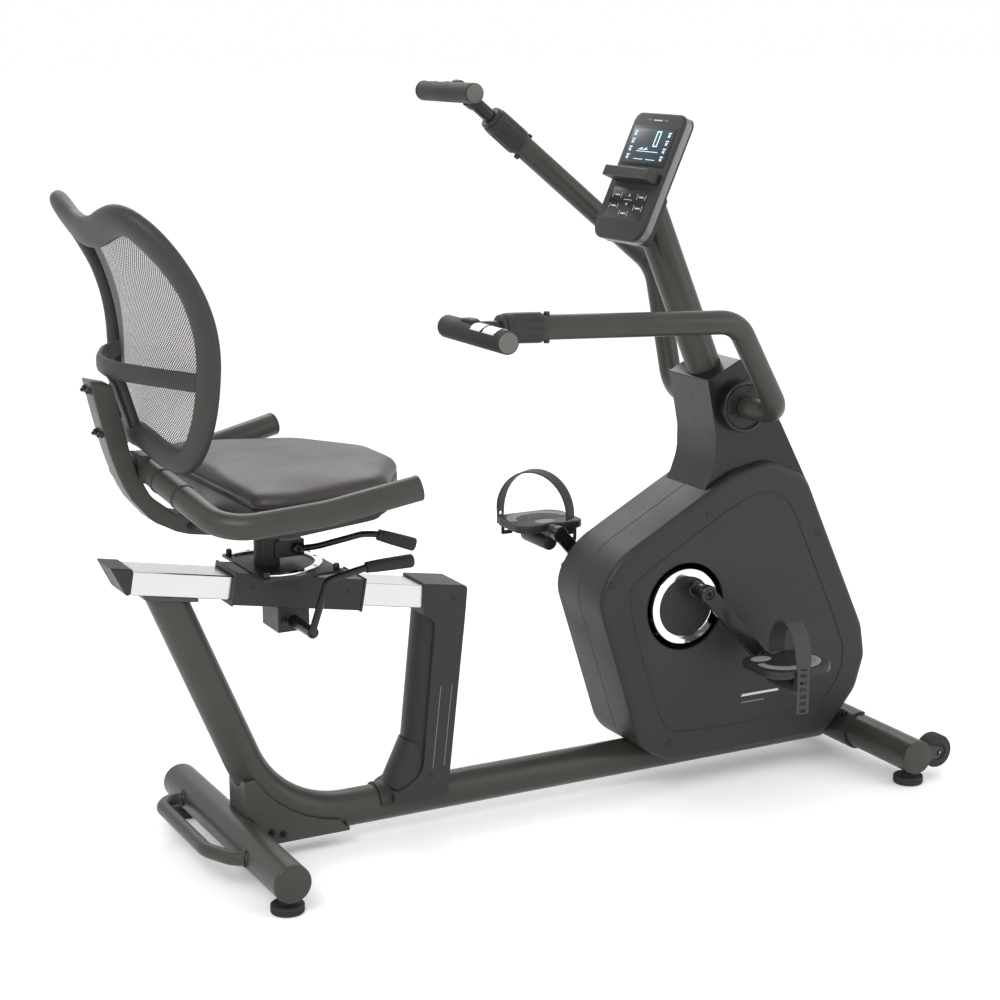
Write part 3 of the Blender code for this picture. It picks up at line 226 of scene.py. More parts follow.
SLOTS = {}
for slot, materials in {
    "painted_steel": (PAINT, BRACKET, DISC),
    "dark_plastic": (MOULD, GLOSS, RIM, PAD, CAP_GREY, SILVER, KEYPAD, GLYPH, ACCENT, LINE),
    "black_steel": (BLACK,),
    "aluminium": (ALLOY,),
    "chrome": (CHROME,),
    "bright_steel": (STEEL,),
    "rubber": (RUBBER, FOAM, STRAP),
    "leather": (LEATHER, SIDE_LEATHER, THREAD),
    "glass": (LCD, SEGMENT),
    "cast_iron": (IRON,),
    "mesh_cloth": (MESH,),
}.items():
    SLOTS |= dict.fromkeys(materials, slot)


# ---------------------------------------------------------------- shape helpers
def mesh_object(name, work):
    bmesh.ops.recalc_face_normals(work, faces=work.faces)
    mesh = bpy.data.meshes.new(name)
    work.to_mesh(mesh)
    work.free()
    obj = bpy.data.objects.new(name, mesh)
    bpy.context.scene.collection.objects.link(obj)
    return obj


def smooth(obj, angle=35):
    for face in obj.data.polygons:
        face.use_smooth = True
    obj.data.set_sharp_from_angle(angle=radians(angle))


def piece(obj, name, material, body, *nodes, angle=35):
    """Names a finished shape, shifts it to the row frame, dresses it and lets it ride on its body."""
    obj.data.transform(SHIFT)
    obj.name = name
    obj.data.name = name
    obj.data.materials.clear()
    obj.data.materials.append(material)
    smooth(obj, angle)
    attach(obj, body)
    if nodes:
        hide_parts(*nodes)
    return obj


def skin(name, rings, closed=False, caps=True):
    """Joins rings of equal point count into one surface."""
    work = bmesh.new()
    rows = [[work.verts.new(p) for p in ring] for ring in rings]
    count = len(rows[0])
    pairs = list(zip(rows, rows[1:]))
    if closed:
        pairs.append((rows[-1], rows[0]))
    for low, high in pairs:
        for i in range(count):
            j = (i + 1) % count
            work.faces.new((low[i], low[j], high[j], high[i]))
    if caps and not closed:
        work.faces.new(rows[0])
        work.faces.new(rows[-1])
    return mesh_object(name, work)


def circle(centre, u, v, radius, count=32, phase=0.0):
    return [
        centre + (u * cos(a) + v * sin(a)) * radius
        for a in (phase + 2 * pi * k / count for k in range(count))
    ]


def across(axis):
    """Two directions square to an axis and to each other."""
    axis = Vector(axis).normalized()
    helper = Vector((0, 1, 0)) if abs(axis.y) < 0.9 else Vector((0, 0, 1))
    u = helper.cross(axis).normalized()
    return u, axis.cross(u).normalized()


def turned(name, start, axis, profile, count=40):
    """Turned shape: profile is (radius, distance along axis) from one end to the other."""
    start, axis = Vector(start), Vector(axis).normalized()
    u, v = across(axis)
    rings = [circle(start + axis * along, u, v, max(radius, 0.00005), count) for radius, along in profile]
    return skin(name, rings)


def bar(name, start, end, radius, edge=0.0012, count=36, end_radius=None):
    """Round bar with softened ends."""
    start, end = Vector(start), Vector(end)
    length = (end - start).length
    last = radius if end_radius is None else end_radius
    profile = [(radius - edge, 0), (radius - edge * 0.3, edge * 0.3), (radius, edge)]
    profile += [(last, length - edge), (last - edge * 0.3, length - edge * 0.3), (last - edge, length)]
    return turned(name, start, end - start, profile, count)


def fillet(points, radii, step=radians(5), closed=False):
    """Rounds the corners of a polyline in two or three dimensions."""
    points = [Vector(p) for p in points]
    count = len(points)
    out = []
    for index, point in enumerate(points):
        radius = radii[index]
        if not (closed or 0 < index < count - 1) or radius <= 0:
            out.append(point)
            continue
        to_last = (points[index - 1] - point).normalized()
        to_next = (points[(index + 1) % count] - point).normalized()
        half = to_last.angle(to_next) / 2
        centre = point + (to_last + to_next).normalized() * (radius / sin(half))
        first = point + to_last * (radius / tan(half)) - centre
        last = point + to_next * (radius / tan(half)) - centre
        sweep = first.angle(last)
        steps = max(2, round(sweep / step))
        for k in range(steps + 1):
            part = k / steps
            mixed = (first * sin((1 - part) * sweep) + last * sin(part * sweep)) / sin(sweep)
            out.append(centre + mixed)
    kept = [out[0]]
    for point in out[1:]:
        if (point - kept[-1]).length > 0.0002:
            kept.append(point)
    if closed and (kept[0] - kept[-1]).length < 0.0002:
        kept.pop()
    return kept


def pipe(name, points, radius, count=32, closed=False, edge=0.0015):
    """Round tube along a polyline, with softened ends."""
    points = [Vector(p) for p in points]
    total = len(points)
    rings = []
    u = None
    for i, point in enumerate(points):
        if closed:
            run = (points[(i + 1) % total] - points[i - 1]).normalized()
        else:
            run = (points[min(i + 1, total - 1)] - points[max(i - 1, 0)]).normalized()
        u = across(run)[0] if u is None else (u - run * u.dot(run)).normalized()
        v = run.cross(u)
        if not closed and i == 0:
            rings.append(circle(point, u, v, radius - edge, count))
            rings.append(circle(point + run * edge * 0.3, u, v, radius - edge * 0.3, count))
            point = point + run * edge
        if not closed and i == total - 1:
            rings.append(circle(point - run * edge, u, v, radius, count))
            rings.append(circle(point - run * edge * 0.3, u, v, radius - edge * 0.3, count))
            rings.append(circle(point, u, v, radius - edge, count))
            continue
        rings.append(circle(point, u, v, radius, count))
    return skin(name, rings, closed)


def inset(outline, amount):
    """The closed outline moved inward by an amount."""
    points = [Vector(p) for p in outline]
    count = len(points)
    area = sum(points[i - 1].x * points[i].y - points[i].x * points[i - 1].y for i in range(count))
    side = 1 if area > 0 else -1
    out = []
    for i in range(count):
        before = (points[i] - points[i - 1]).normalized()
        after = (points[(i + 1) % count] - points[i]).normalized()
        normal = Vector((-before.y - after.y, before.x + after.x)).normalized() * side
        facing = Vector((-before.y, before.x)) * side
        out.append(points[i] + normal * (amount / max(0.3, normal.dot(facing))))
    return out


def slab(name, outline, low, high, edge=0.001, plane="XZ", steps=3):
    """Flat outline given thickness, with rounded rims. Plane XZ runs along Y, XY along Z, YZ along X."""
    turn = {
        "XZ": lambda p, t: Vector((p.x, t, p.y)),
        "XY": lambda p, t: Vector((p.x, p.y, t)),
        "YZ": lambda p, t: Vector((t, p.x, p.y)),
    }[plane]
    rings = []
    angles = [pi / 2 * k / steps for k in range(steps + 1)]
    for a in angles:
        rings.append([turn(p, low + edge * (1 - cos(a))) for p in inset(outline, edge * (1 - sin(a)))])
    for a in reversed(angles):
        rings.append([turn(p, high - edge * (1 - cos(a))) for p in inset(outline, edge * (1 - sin(a)))])
    return skin(name, rings)


def body_of(node):
    return NODES[node]["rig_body"]


def refined(obj):
    """Replaces an object's mesh by the result of its modifiers."""
    bpy.context.view_layer.update()
    graph = bpy.context.evaluated_depsgraph_get()
    obj.data = bpy.data.meshes.new_from_object(obj.evaluated_get(graph))
    obj.modifiers.clear()
    return obj


def carve(obj, *tools):
    """Cuts tool shapes out of an object and removes the tools."""
    for tool in tools:
        step = obj.modifiers.new("carve", "BOOLEAN")
        step.solver = "EXACT"
        step.object = tool
    refined(obj)
    for tool in tools:
        bpy.data.objects.remove(tool, do_unlink=True)
    return obj


def trimmed(obj, point, normal):
    """Cuts away what lies beyond a plane and closes the cut."""
    work = bmesh.new()
    work.from_mesh(obj.data)
    parts = work.verts[:] + work.edges[:] + work.faces[:]
    cut = bmesh.ops.bisect_plane(work, geom=parts, plane_co=point, plane_no=normal, clear_outer=True)
    rim = [e for e in cut["geom_cut"] if isinstance(e, bmesh.types.BMEdge)]
    bmesh.ops.contextual_create(work, geom=rim)
    work.to_mesh(obj.data)
    work.free()
    return obj


def moved(obj, matrix):
    """The object with its shape moved and turned."""
    obj.data.transform(matrix)
    return obj


def joined(name, objs):
    """One mesh out of several."""
    work = bmesh.new()
    for obj in objs:
        work.from_mesh(obj.data)
        bpy.data.objects.remove(obj, do_unlink=True)
    return mesh_object(name, work)


def oblong(low_x, low_y, high_x, high_y):
    return [(low_x, low_y), (high_x, low_y), (high_x, high_y), (low_x, high_y)]


def block(name, low, high, edge=0.001):
    return slab(name, oblong(*low[:2], *high[:2]), low[2], high[2], edge, plane="XY")


def dress(node, material, bevel=0.0008, angle=30):
    """Finishes a CAD node that stays in view: softened edges, even shading and its surface."""
    obj = NODES[node]
    mesh = obj.data
    if "custom_normal" in mesh.attributes:
        mesh.attributes.remove(mesh.attributes["custom_normal"])
    mesh.materials.clear()
    mesh.materials.append(material)
    weld = obj.modifiers.new("weld", "WELD")
    weld.merge_threshold = 0.00002
    if bevel:
        soften = obj.modifiers.new("soften", "BEVEL")
        soften.width = bevel
        soften.segments = 2
        soften.limit_method = "ANGLE"
        soften.angle_limit = radians(angle)
    for face in mesh.polygons:
        face.use_smooth = True
    even = obj.modifiers.new("even", "WEIGHTED_NORMAL")
    even.keep_sharp = True


def weld_bead(name, line, body, radius):
    """Rippled weld along a closed line."""
    count = len(line)
    u = None
    rings = []
    for i, point in enumerate(line):
        run = (line[(i + 1) % count] - line[i - 1]).normalized()
        u = across(run)[0] if u is None else (u - run * u.dot(run)).normalized()
        swell = radius * (1 + 0.18 * sin(i * 2.1) + 0.1 * sin(i * 0.9))
        rings.append(circle(point, u, run.cross(u), swell, 10))
    return piece(skin(name, rings, True), name, PAINT, body)


def ring_path(centre, axis, radius, count):
    """Points round a circle."""
    u, v = across(axis)
    return circle(Vector(centre), u, v, radius, count)


def screw(name, head, axis, radius, body, material=None, height=0.0022, place=None):
    """Round screw head with a hexagon socket, standing on a surface."""
    axis = Vector(axis).normalized()
    start = Vector(head) - axis * 0.0008
    u, v = across(axis)
    rings = []
    for r, along in (
        (radius, 0),
        (radius, height * 0.6 + 0.0008),
        (radius * 0.86, height + 0.0008),
        (radius * 0.55, height + 0.0009),
    ):
        rings.append(circle(start + axis * along, u, v, r, 24))
    for along in (height + 0.0008, height * 0.35):
        ring = []
        for k in range(24):
            a = 2 * pi * k / 24
            reach = radius * 0.46 / cos((a % (pi / 3)) - pi / 6)
            ring.append(start + axis * along + (u * cos(a) + v * sin(a)) * reach)
        rings.append(ring)
    obj = skin(name, rings)
    if place is not None:
        obj.data.transform(place)
    return piece(obj, name, material or BLACK, body)


def nut_bolt(name, head, axis, radius, body):
    """Hexagon nut on a washer with the thread end showing."""
    axis = Vector(axis).normalized()
    start = Vector(head) - axis * 0.0006
    washer = turned(
        name,
        start,
        axis,
        [(radius * 1.3, 0), (radius * 1.3, 0.0016), (radius * 1.1, 0.0018)],
        32,
    )
    nut = turned(name, start, axis, [(radius * 1.06, 0), (radius * 1.1, 0.0062), (radius * 0.9, 0.0072)], 6)
    end = turned(
        name,
        start,
        axis,
        [(radius * 0.55, 0), (radius * 0.55, 0.0098), (radius * 0.42, 0.0108)],
        20,
    )
    return piece(joined(name, [washer, nut, end]), name, BLACK, body, angle=25)


# ---------------------------------------------------------------- frame tubes
FRAME = body_of("main_tube")
TUBE = 0.03
MAIN_Z = 0.0525
RAIL_TILT = radians(9.8)
FRONT_X = 1.1624


def rail_centre(x):
    """Height of the rail's middle line."""
    return 0.4713 - 0.0185 / cos(RAIL_TILT) - x * tan(RAIL_TILT)


def on_rail(x, up=0.0, along=0.0, y=0.0):
    """A point on the rail, with offsets square to it and along it."""
    return Vector(
        (
            x + along * cos(RAIL_TILT) + up * sin(RAIL_TILT),
            y,
            rail_centre(x) - along * sin(RAIL_TILT) + up * cos(RAIL_TILT),
        )
    )


RAIL_UP = Vector((sin(RAIL_TILT), 0, cos(RAIL_TILT)))
main_path = fillet(
    [(-0.1123, 0, 0.48), (0.0657, 0, MAIN_Z), (FRONT_X - 0.0347, 0, MAIN_Z)], [0, 0.189, 0], step=radians(3)
)
frame_tube = trimmed(pipe("frame_tube", main_path, TUBE, 48), on_rail(0.0, -0.0188), RAIL_UP)
piece(frame_tube, "frame_tube", PAINT, FRAME, "main_tube")
upright = trimmed(
    bar("frame_upright", (0.316, 0, MAIN_Z), (0.352, 0, 0.4), 0.0285),
    on_rail(0.0, -0.0188),
    RAIL_UP,
)
piece(upright, "frame_upright", PAINT, FRAME)
weld_plate = block("frame_plate", (-0.043, -0.033, -0.003), (0.043, 0.033, 0.003))
moved(weld_plate, Matrix.Translation(on_rail(-0.095, -0.0219)) @ Matrix.Rotation(RAIL_TILT, 4, "Y"))
piece(weld_plate, "frame_plate", PAINT, FRAME)
for k, (x, y) in enumerate(((-0.128, -0.024), (-0.128, 0.024), (-0.066, -0.024), (-0.066, 0.024))):
    screw(f"plate_screw_{k}", on_rail(x, -0.0246, y=y), -RAIL_UP, 0.0055, FRAME)

CAPPED = [
    (TUBE - 0.0024, 0),
    (TUBE - 0.001, 0.0004),
    (TUBE - 0.0002, 0.0014),
    (TUBE - 0.0002, 0.0028),
    (TUBE - 0.0009, 0.0031),
    (TUBE - 0.0009, 0.0037),
    (TUBE, 0.0041),
]
STAB_Z = 0.0512
for node, x in (("rear_stabiliser", 0.0), ("front_stabiliser", FRONT_X)):
    profile = CAPPED + [(r, 0.494 - along) for r, along in reversed(CAPPED)]
    piece(turned(node, (x, -0.247, STAB_Z), (0, 1, 0), profile, 56), f"{node}_bar", PAINT, FRAME, node)
handle_path = fillet(
    [
        (-0.01, 0.15, 0.056),
        (-0.067, 0.178, 0.051),
        (-0.067, -0.06, 0.051),
        (-0.042, -0.112, 0.051),
        (-0.01, -0.137, 0.056),
    ],
    [0, 0.028, 0.06, 0.06, 0],
)
piece(pipe("lift_handle", handle_path, 0.0115, 28), "lift_handle", PAINT, FRAME)
HANDLE_WELDS = (
    ((-0.0285, 0.1585, 0.0545), (0.9, -0.43, 0)),
    ((-0.0275, -0.1245, 0.0535), (0.79, -0.6, 0)),
)
for k, (spot, axis) in enumerate(HANDLE_WELDS):
    weld_bead(f"handle_weld_{k}", ring_path(spot, axis, 0.0122, 48), FRAME, 0.0018)
dress("rear_gusset", PAINT)
dress("front_saddle", PAINT)
for k, (x, z) in enumerate(((0.052, 0.047), (0.071, 0.041))):
    for word, side in SIDES:
        nut_bolt(f"gusset_bolt_{word}_{k}", (x, side * 0.0344, z), (0, side, 0), 0.0052, FRAME)
for word, side in SIDES:
    nut_bolt(
        f"saddle_bolt_{word}",
        (FRONT_X - 0.02, side * 0.062, STAB_Z + 0.0285),
        (-0.55, 0, 0.83),
        0.0055,
        FRAME,
    )

# feet and transport wheels
for end, x in (("rear", 0.0), ("front", FRONT_X)):
    for word, side in SIDES:
        node = f"foot_{end}_{word}"
        body = body_of(node)
        ribs = [(0.0225, 0), (0.025, 0.0008), (0.0258, 0.0022)]
        for k in range(3):
            ribs += [
                (0.0258, 0.003 + 0.0028 * k),
                (0.0252, 0.0034 + 0.0028 * k),
                (0.0252, 0.0042 + 0.0028 * k),
                (0.0258, 0.0046 + 0.0028 * k),
            ]
        ribs += [(0.0258, 0.0118), (0.0246, 0.0131), (0.012, 0.0135), (0.0115, 0.0165), (0.01, 0.0172)]
        piece(turned(node, (x, side * 0.222, 0), (0, 0, 1), ribs, 48), f"{node}_pad", RUBBER, body, node)
        thread = []
        for k in range(18):
            thread += [(0.005, 0.0165 + 0.0012 * k), (0.0044, 0.0171 + 0.0012 * k)]
        piece(turned("stem", (x, side * 0.222, 0), (0, 0, 1), thread, 20), f"{node}_stem", STEEL, body)

WHEEL_X, WHEEL_Z = 1.224, 0.046
for word, side in SIDES:
    node = f"wheel_{word}"
    tread = [(0.015, 0.0022), (0.0155, 0.0004), (0.0255, 0.0), (0.0282, 0.0012), (0.0294, 0.004)]
    tread += [(0.0294, 0.0125), (0.0288, 0.0132), (0.0288, 0.0148), (0.0294, 0.0155)]
    tread += [(0.0294, 0.024), (0.0282, 0.0268), (0.0255, 0.028), (0.0155, 0.0276), (0.015, 0.0258)]
    tread = [(0.0052, 0.0022)] + tread + [(0.0052, 0.0258)]
    start = (WHEEL_X, side * 0.2122 - 0.014, WHEEL_Z)
    piece(turned(node, start, (0, 1, 0), tread, 56), f"{node}_tyre", RUBBER, body_of(node), node)
    for k, y in enumerate((0.229, 0.1945)):
        outline = fillet(
            [
                (FRONT_X + 0.012, 0.03),
                (WHEEL_X - 0.004, 0.0365),
                (WHEEL_X + 0.011, 0.046),
                (WHEEL_X - 0.002, 0.056),
                (FRONT_X + 0.012, 0.068),
            ],
            [0, 0.008, 0.008, 0.008, 0],
            closed=True,
        )
        ear = slab("ear", outline, side * y - 0.0015, side * y + 0.0015, 0.0004)
        piece(ear, f"wheel_ear_{word}_{k}", PAINT, FRAME)
        out = side if k == 0 else -side
        screw(
            f"wheel_bolt_{word}_{k}",
            (WHEEL_X, side * y + out * 0.0015, WHEEL_Z),
            (0, out, 0),
            0.0062,
            FRAME,
        )
    piece(
        bar("pin", (WHEEL_X, side * 0.194, WHEEL_Z), (WHEEL_X, side * 0.231, WHEEL_Z), 0.004),
        f"wheel_pin_{word}",
        STEEL,
        FRAME,
    )

# ---------------------------------------------------------------- rail, cover, carriage and levers
dress("seat_rail", ALLOY, 0.0012)
dress("rail_end_cap", MOULD, 0.0012)
dress("post_cover", MOULD, 0.001)
COVER_Y = 0.0405


def cover_strip(low, high, half, offset=0.0):
    """Upright strip printed on the cover, leaning with the cover's front edge."""
    lean = (0.39 - 0.357) / (0.351 - 0.059)
    low_x, high_x = [0.357 + lean * (z - 0.059) - 0.022 + offset for z in (low, high)]
    return [(low_x - half, low), (low_x + half, low), (high_x + half, high), (high_x - half, high)]


for word, side in SIDES:
    for k, (x, z) in enumerate(((0.37, 0.39), (0.329, 0.096))):
        screw(f"cover_screw_{word}_{k}", (x, side * 0.0406, z), (0, side, 0), 0.0042, FRAME, height=0.001)
    flat = side * COVER_Y
    for k, offset in enumerate((-0.01, 0.01)):
        line = slab("line", cover_strip(0.11, 0.246, 0.0006, offset), flat - 0.0002, flat + 0.0002, 0.0001)
        piece(line, f"cover_line_{word}_{k}", LINE, FRAME)

dress("carriage", BRACKET)
CARRIAGE = body_of("carriage")


def carriage_screws(word, side):
    for k, x in enumerate((0.028, 0.186)):
        head = on_rail(x, 0.004, y=side * 0.0415)
        screw(f"carriage_screw_{word}_{k}", head, (0, side, 0), 0.0034, CARRIAGE, height=0.0008)


carriage_screws("right", -1)
for k, along in enumerate((-0.1084, 0.1084)):
    lip = block("lip", (-0.0016, -0.0432, -0.0268), (0.0016, 0.0432, 0.0268), 0.0006)
    carve(lip, block("hole", (-0.01, -0.0362, -0.0195), (0.01, 0.0362, 0.0195), 0.0006))
    moved(lip, Matrix.Translation(on_rail(0.1045, 0.0, along)) @ Matrix.Rotation(RAIL_TILT, 4, "Y"))
    piece(lip, f"carriage_lip_{k}", MOULD, CARRIAGE)
carriage_screws("left", 1)
for k, (x, y) in enumerate(((0.036, -0.08), (0.036, 0.08), (0.15, -0.08), (0.15, 0.08))):
    screw(f"plate_pin_{k}", (x, y, 0.4751), (0, 0, 1), 0.005, CARRIAGE, height=0.009)
for k, (y, side) in enumerate(((-0.0362, -1), (0.0302, 1))):
    nut_bolt(f"hanger_bolt_{k}", (0.0805, y, 0.39), (0, side, 0), 0.0052, CARRIAGE)
dress("index_arc", CHROME, 0.0004)
dress("slide_lever", BLACK, 0.0)
dress("swivel_lever", BLACK, 0.0)
for node, start, end, low, high in (
    ("slide_lever_grip", (0.187, -0.107, 0.479), (0.266, -0.107, 0.4805), 0.0088, 0.0108),
    ("swivel_lever_grip", (0.2105, -0.0996, 0.5265), (0.267, -0.1149, 0.507), 0.0088, 0.0105),
):
    start, end = Vector(start), Vector(end)
    length = (end - start).length
    profile = [
        (0.0062, 0),
        (low * 0.95, 0.0004),
        (low, 0.002),
        (low, 0.005),
        (low * 0.95, 0.0056),
        (low * 0.95, 0.0066),
        (low + 0.0002, 0.0072),
    ]
    for k in range(1, 9):
        part = k / 8
        profile.append((low + (high - low) * sqrt(part), 0.0072 + (length - 0.011) * part))
    profile += [
        (high * 0.97, length - 0.002),
        (high * 0.86, length - 0.0006),
        (high * 0.7, length),
        (0.0022, length),
        (0.002, length - 0.0012),
    ]
    piece(turned(node, start, end - start, profile, 40), f"{node}_sleeve", FOAM, body_of(node), node)

# ---------------------------------------------------------------- seat
SEAT = body_of("seat_base")
dress("seat_base", BRACKET)
for k, side in enumerate((-1, 1)):
    nut_bolt(
        f"swivel_bolt_{k}",
        (0.11, side * 0.0312 if side < 0 else 0.0245, 0.5),
        (0, side, 0),
        0.0045,
        body_of("swivel_lever"),
    )
cushion_outline = fillet(
    [
        (-0.03, 0.212),
        (-0.03, -0.212),
        (0.02, -0.232),
        (0.19, -0.18),
        (0.269, -0.05),
        (0.269, 0.05),
        (0.19, 0.18),
        (0.02, 0.232),
    ],
    [0.025, 0.025, 0.05, 0.07, 0.06, 0.06, 0.07, 0.05],
    step=radians(4),
    closed=True,
)


def even_loop(points, spacing):
    """The same closed line with points at even distances."""
    points = [Vector(p) for p in points]
    total = sum((points[i] - points[i - 1]).length for i in range(len(points)))
    count = max(8, round(total / spacing))
    out = []
    want = 0.0
    done = 0.0
    for i in range(len(points)):
        a, b = points[i], points[(i + 1) % len(points)]
        run = (b - a).length
        while want < done + run and len(out) < count:
            out.append(a + (b - a) * ((want - done) / run))
            want += total / count
        done += run
    return out


cushion_outline = even_loop(cushion_outline, 0.005)
CUSHION_MIDDLE = Vector((0.112, 0.0))
SEAT_SECTION = [
    (0.03, 0.5752),
    (0.01, 0.5752),
    (0.003, 0.5765),
    (0.0004, 0.58),
    (-0.0006, 0.588),
    (-0.001, 0.598),
    (-0.0004, 0.608),
    (0.0006, 0.6125),
    (0.003, 0.6136),
    (0.0006, 0.6147),
    (-0.0002, 0.618),
    (0.0012, 0.6235),
    (0.005, 0.629),
    (0.011, 0.633),
    (0.019, 0.6356),
    (0.029, 0.6374),
    (0.042, 0.6388),
    (0.058, 0.6398),
    (0.076, 0.6404),
    (0.096, 0.6407),
    (0.118, 0.6408),
    (0.142, 0.6408),
    (0.168, 0.6408),
]


def crease(x, y):
    """Soft pull wrinkles of the stretched cover."""
    broad = noise.noise(Vector((x * 9, y * 9, 3.1)))
    pull = noise.noise(Vector((x * 30 + y * 12, y * 7, 8.3)))
    return 0.0011 * broad + 0.0006 * pull


rings = []
for amount, z in SEAT_SECTION:
    ring = []
    for p in cushion_outline:
        away = p - CUSHION_MIDDLE
        reach = away.length
        spot = CUSHION_MIDDLE + away * max(
            0.02,
            1 - amount / 0.19 if amount > 0.012 else 1 - amount / reach,
        )
        lift = crease(spot.x, spot.y) * min(1.0, max(0.0, amount - 0.006) / 0.02) if z > 0.62 else 0.0
        ring.append(Vector((spot.x, spot.y, z + lift)))
    rings.append(ring)
cushion = piece(skin("cushion", rings), "seat_pad", LEATHER, SEAT, "seat_cushion", angle=60)
cushion.data.materials.append(SIDE_LEATHER)
for face in cushion.data.polygons:
    if sum((cushion.data.vertices[v].co.z for v in face.vertices)) / len(face.vertices) < 0.6138:
        face.material_index = 1


def stitches(name, path, body, length=0.0042, pitch=0.0062, radius=0.0006):
    """A row of thread stitches along a closed line."""
    loop = even_loop(path, pitch)
    made = []
    for i, point in enumerate(loop):
        run = (loop[(i + 1) % len(loop)] - point).normalized()
        made.append(bar("stitch", point, point + run * length, radius, radius * 0.5, 6))
    return piece(joined(name, made), name, THREAD, body)


def cushion_line(amount, z):
    """Line round the cushion at a height, moved toward its middle."""
    return [
        Vector((*p, z)) + Vector((*(CUSHION_MIDDLE - p), 0)).normalized() * amount
        for p in cushion_outline
    ]


stitches("seat_stitch_upper", cushion_line(0.0002, 0.6172), SEAT)
stitches("seat_stitch_lower", cushion_line(0.0000, 0.6102), SEAT)
SEAM_SPOTS = [
    (0.02, -0.229),
    (0.262, -0.045),
    (0.262, 0.045),
    (0.02, 0.229),
    (-0.027, 0.206),
    (-0.027, -0.206),
]
for k, (x, y) in enumerate(SEAM_SPOTS):
    spot = min(cushion_outline, key=lambda p: (p - Vector((x, y))).length)
    seam = [Vector((*spot, z)) for z in (0.579, 0.59, 0.6, 0.6125)]
    piece(pipe("seam", seam, 0.0011, 10), f"seat_seam_{k}", SIDE_LEATHER, SEAT)
board = slab(
    "board",
    [p + (CUSHION_MIDDLE - p).normalized() * 0.006 for p in cushion_outline],
    0.5742,
    0.5772,
    0.0008,
    "XY",
)
piece(board, "seat_board", MOULD, SEAT)

dress("back_spine", PAINT, 0.0012)
for k, (x, z, lean) in enumerate(((-0.201, 0.77, 0.3), (-0.187, 0.704, 0.26))):
    for word, side in SIDES:
        nut_bolt(
            f"spine_bolt_{word}_{k}",
            (x + 0.0005, side * 0.0125, z),
            (-cos(lean), 0, -sin(lean)),
            0.0052,
            SEAT,
        )


BACK_HEIGHTS = (0.655, 0.7, 0.78, 0.85, 0.91, 0.95, 0.99, 1.015, 1.045)
BACK_MIDDLE = (-0.131, -0.132, -0.141, -0.152, -0.164, -0.175, -0.188, -0.2, -0.216)
BACK_WRAP = (0.8, 0.95, 1.12, 1.32, 1.3, 1.18, 1.02, 0.96, 0.84)


def between(z, values):
    """Value at a height of the back, from the values at BACK_HEIGHTS."""
    last = len(BACK_HEIGHTS) - 2
    i = max([0] + [k for k in range(last + 1) if BACK_HEIGHTS[k] <= z])
    part = (z - BACK_HEIGHTS[i]) / (BACK_HEIGHTS[i + 1] - BACK_HEIGHTS[i])
    return values[i] + part * (values[i + 1] - values[i])


def back_x(y, z):
    """Fore-and-aft place of the back surface: upright in the middle, wrapping forward at the sides."""
    heights = [z + 0.007 * k for k in range(-4, 5)]
    middle = sum(between(h, BACK_MIDDLE) for h in heights) / 9
    wrap = sum(between(h, BACK_WRAP) for h in heights) / 9
    return middle + wrap * y * y


HALF_RIM = [
    (0.000, 1.014),
    (0.045, 1.019),
    (0.09, 1.033),
    (0.13, 1.042),
    (0.16, 1.04),
    (0.186, 1.024),
    (0.208, 0.992),
    (0.223, 0.95),
    (0.229, 0.905),
    (0.23, 0.855),
    (0.226, 0.8),
    (0.216, 0.748),
    (0.196, 0.7),
    (0.172, 0.671),
    (0.145, 0.661),
    (0.09, 0.667),
    (0.045, 0.68),
    (0.000, 0.684),
]


def rounded(points, cycles=3):
    """Corner cutting that turns a coarse closed line into a flowing one."""
    points = [Vector(p) for p in points]
    for _ in range(cycles):
        finer = []
        for i, p in enumerate(points):
            q = points[(i + 1) % len(points)]
            finer += [p * 0.75 + q * 0.25, p * 0.25 + q * 0.75]
        points = finer
    return points


def both_sides(half):
    """A bar that starts in the middle plane, run on from its mirror image."""
    return [(x, -y, z) for x, y, z in reversed(half[1:])] + half


rim_outline = HALF_RIM[:-1] + [(-y, z) for y, z in reversed(HALF_RIM[1:])]
rim_line = even_loop(rounded(inset(rim_outline, 0.017)), 0.008)


def back_normal(y, z):
    """Direction square to the back surface, pointing forward."""
    step = 0.002
    slope_y = (back_x(y + step, z) - back_x(y - step, z)) / (2 * step)
    slope_z = (back_x(y, z + step) - back_x(y, z - step)) / (2 * step)
    return Vector((1, -slope_y, -slope_z)).normalized()


def ribbon_tube(name, line, normals, half_width, half_thick, power=2.6, closed=True, count=28):
    """Moulded bar of rounded-box section, its broad side facing the given directions."""
    rings = []
    total = len(line)
    for i, point in enumerate(line):
        after = line[(i + 1) % total] if closed else line[min(i + 1, total - 1)]
        before = line[i - 1] if closed else line[max(i - 1, 0)]
        run = (after - before).normalized()
        face = normals[i] - run * normals[i].dot(run)
        face.normalize()
        wide = run.cross(face)
        ring = []
        for k in range(count):
            a = 2 * pi * k / count
            c, s = cos(a), sin(a)
            grow = (abs(c) ** power + abs(s) ** power) ** (-1 / power)
            ring.append(point + wide * (c * grow * half_width[i]) + face * (s * grow * half_thick[i]))
        rings.append(ring)
    return skin(name, rings, closed)


line, normals, widths, thicks = [], [], [], []
for p in rim_line:
    line.append(Vector((back_x(p.x, p.y), p.x, p.y)))
    normals.append(back_normal(p.x, p.y))
    swell = min(1.0, max(0.0, (p.y - 0.93) / 0.07))
    widths.append(0.019 + 0.005 * swell)
    thicks.append(0.0125 + 0.002 * swell)
piece(ribbon_tube("rim", line, normals, widths, thicks, 2.4), "back_rim", RIM, SEAT, "back_frame", angle=50)


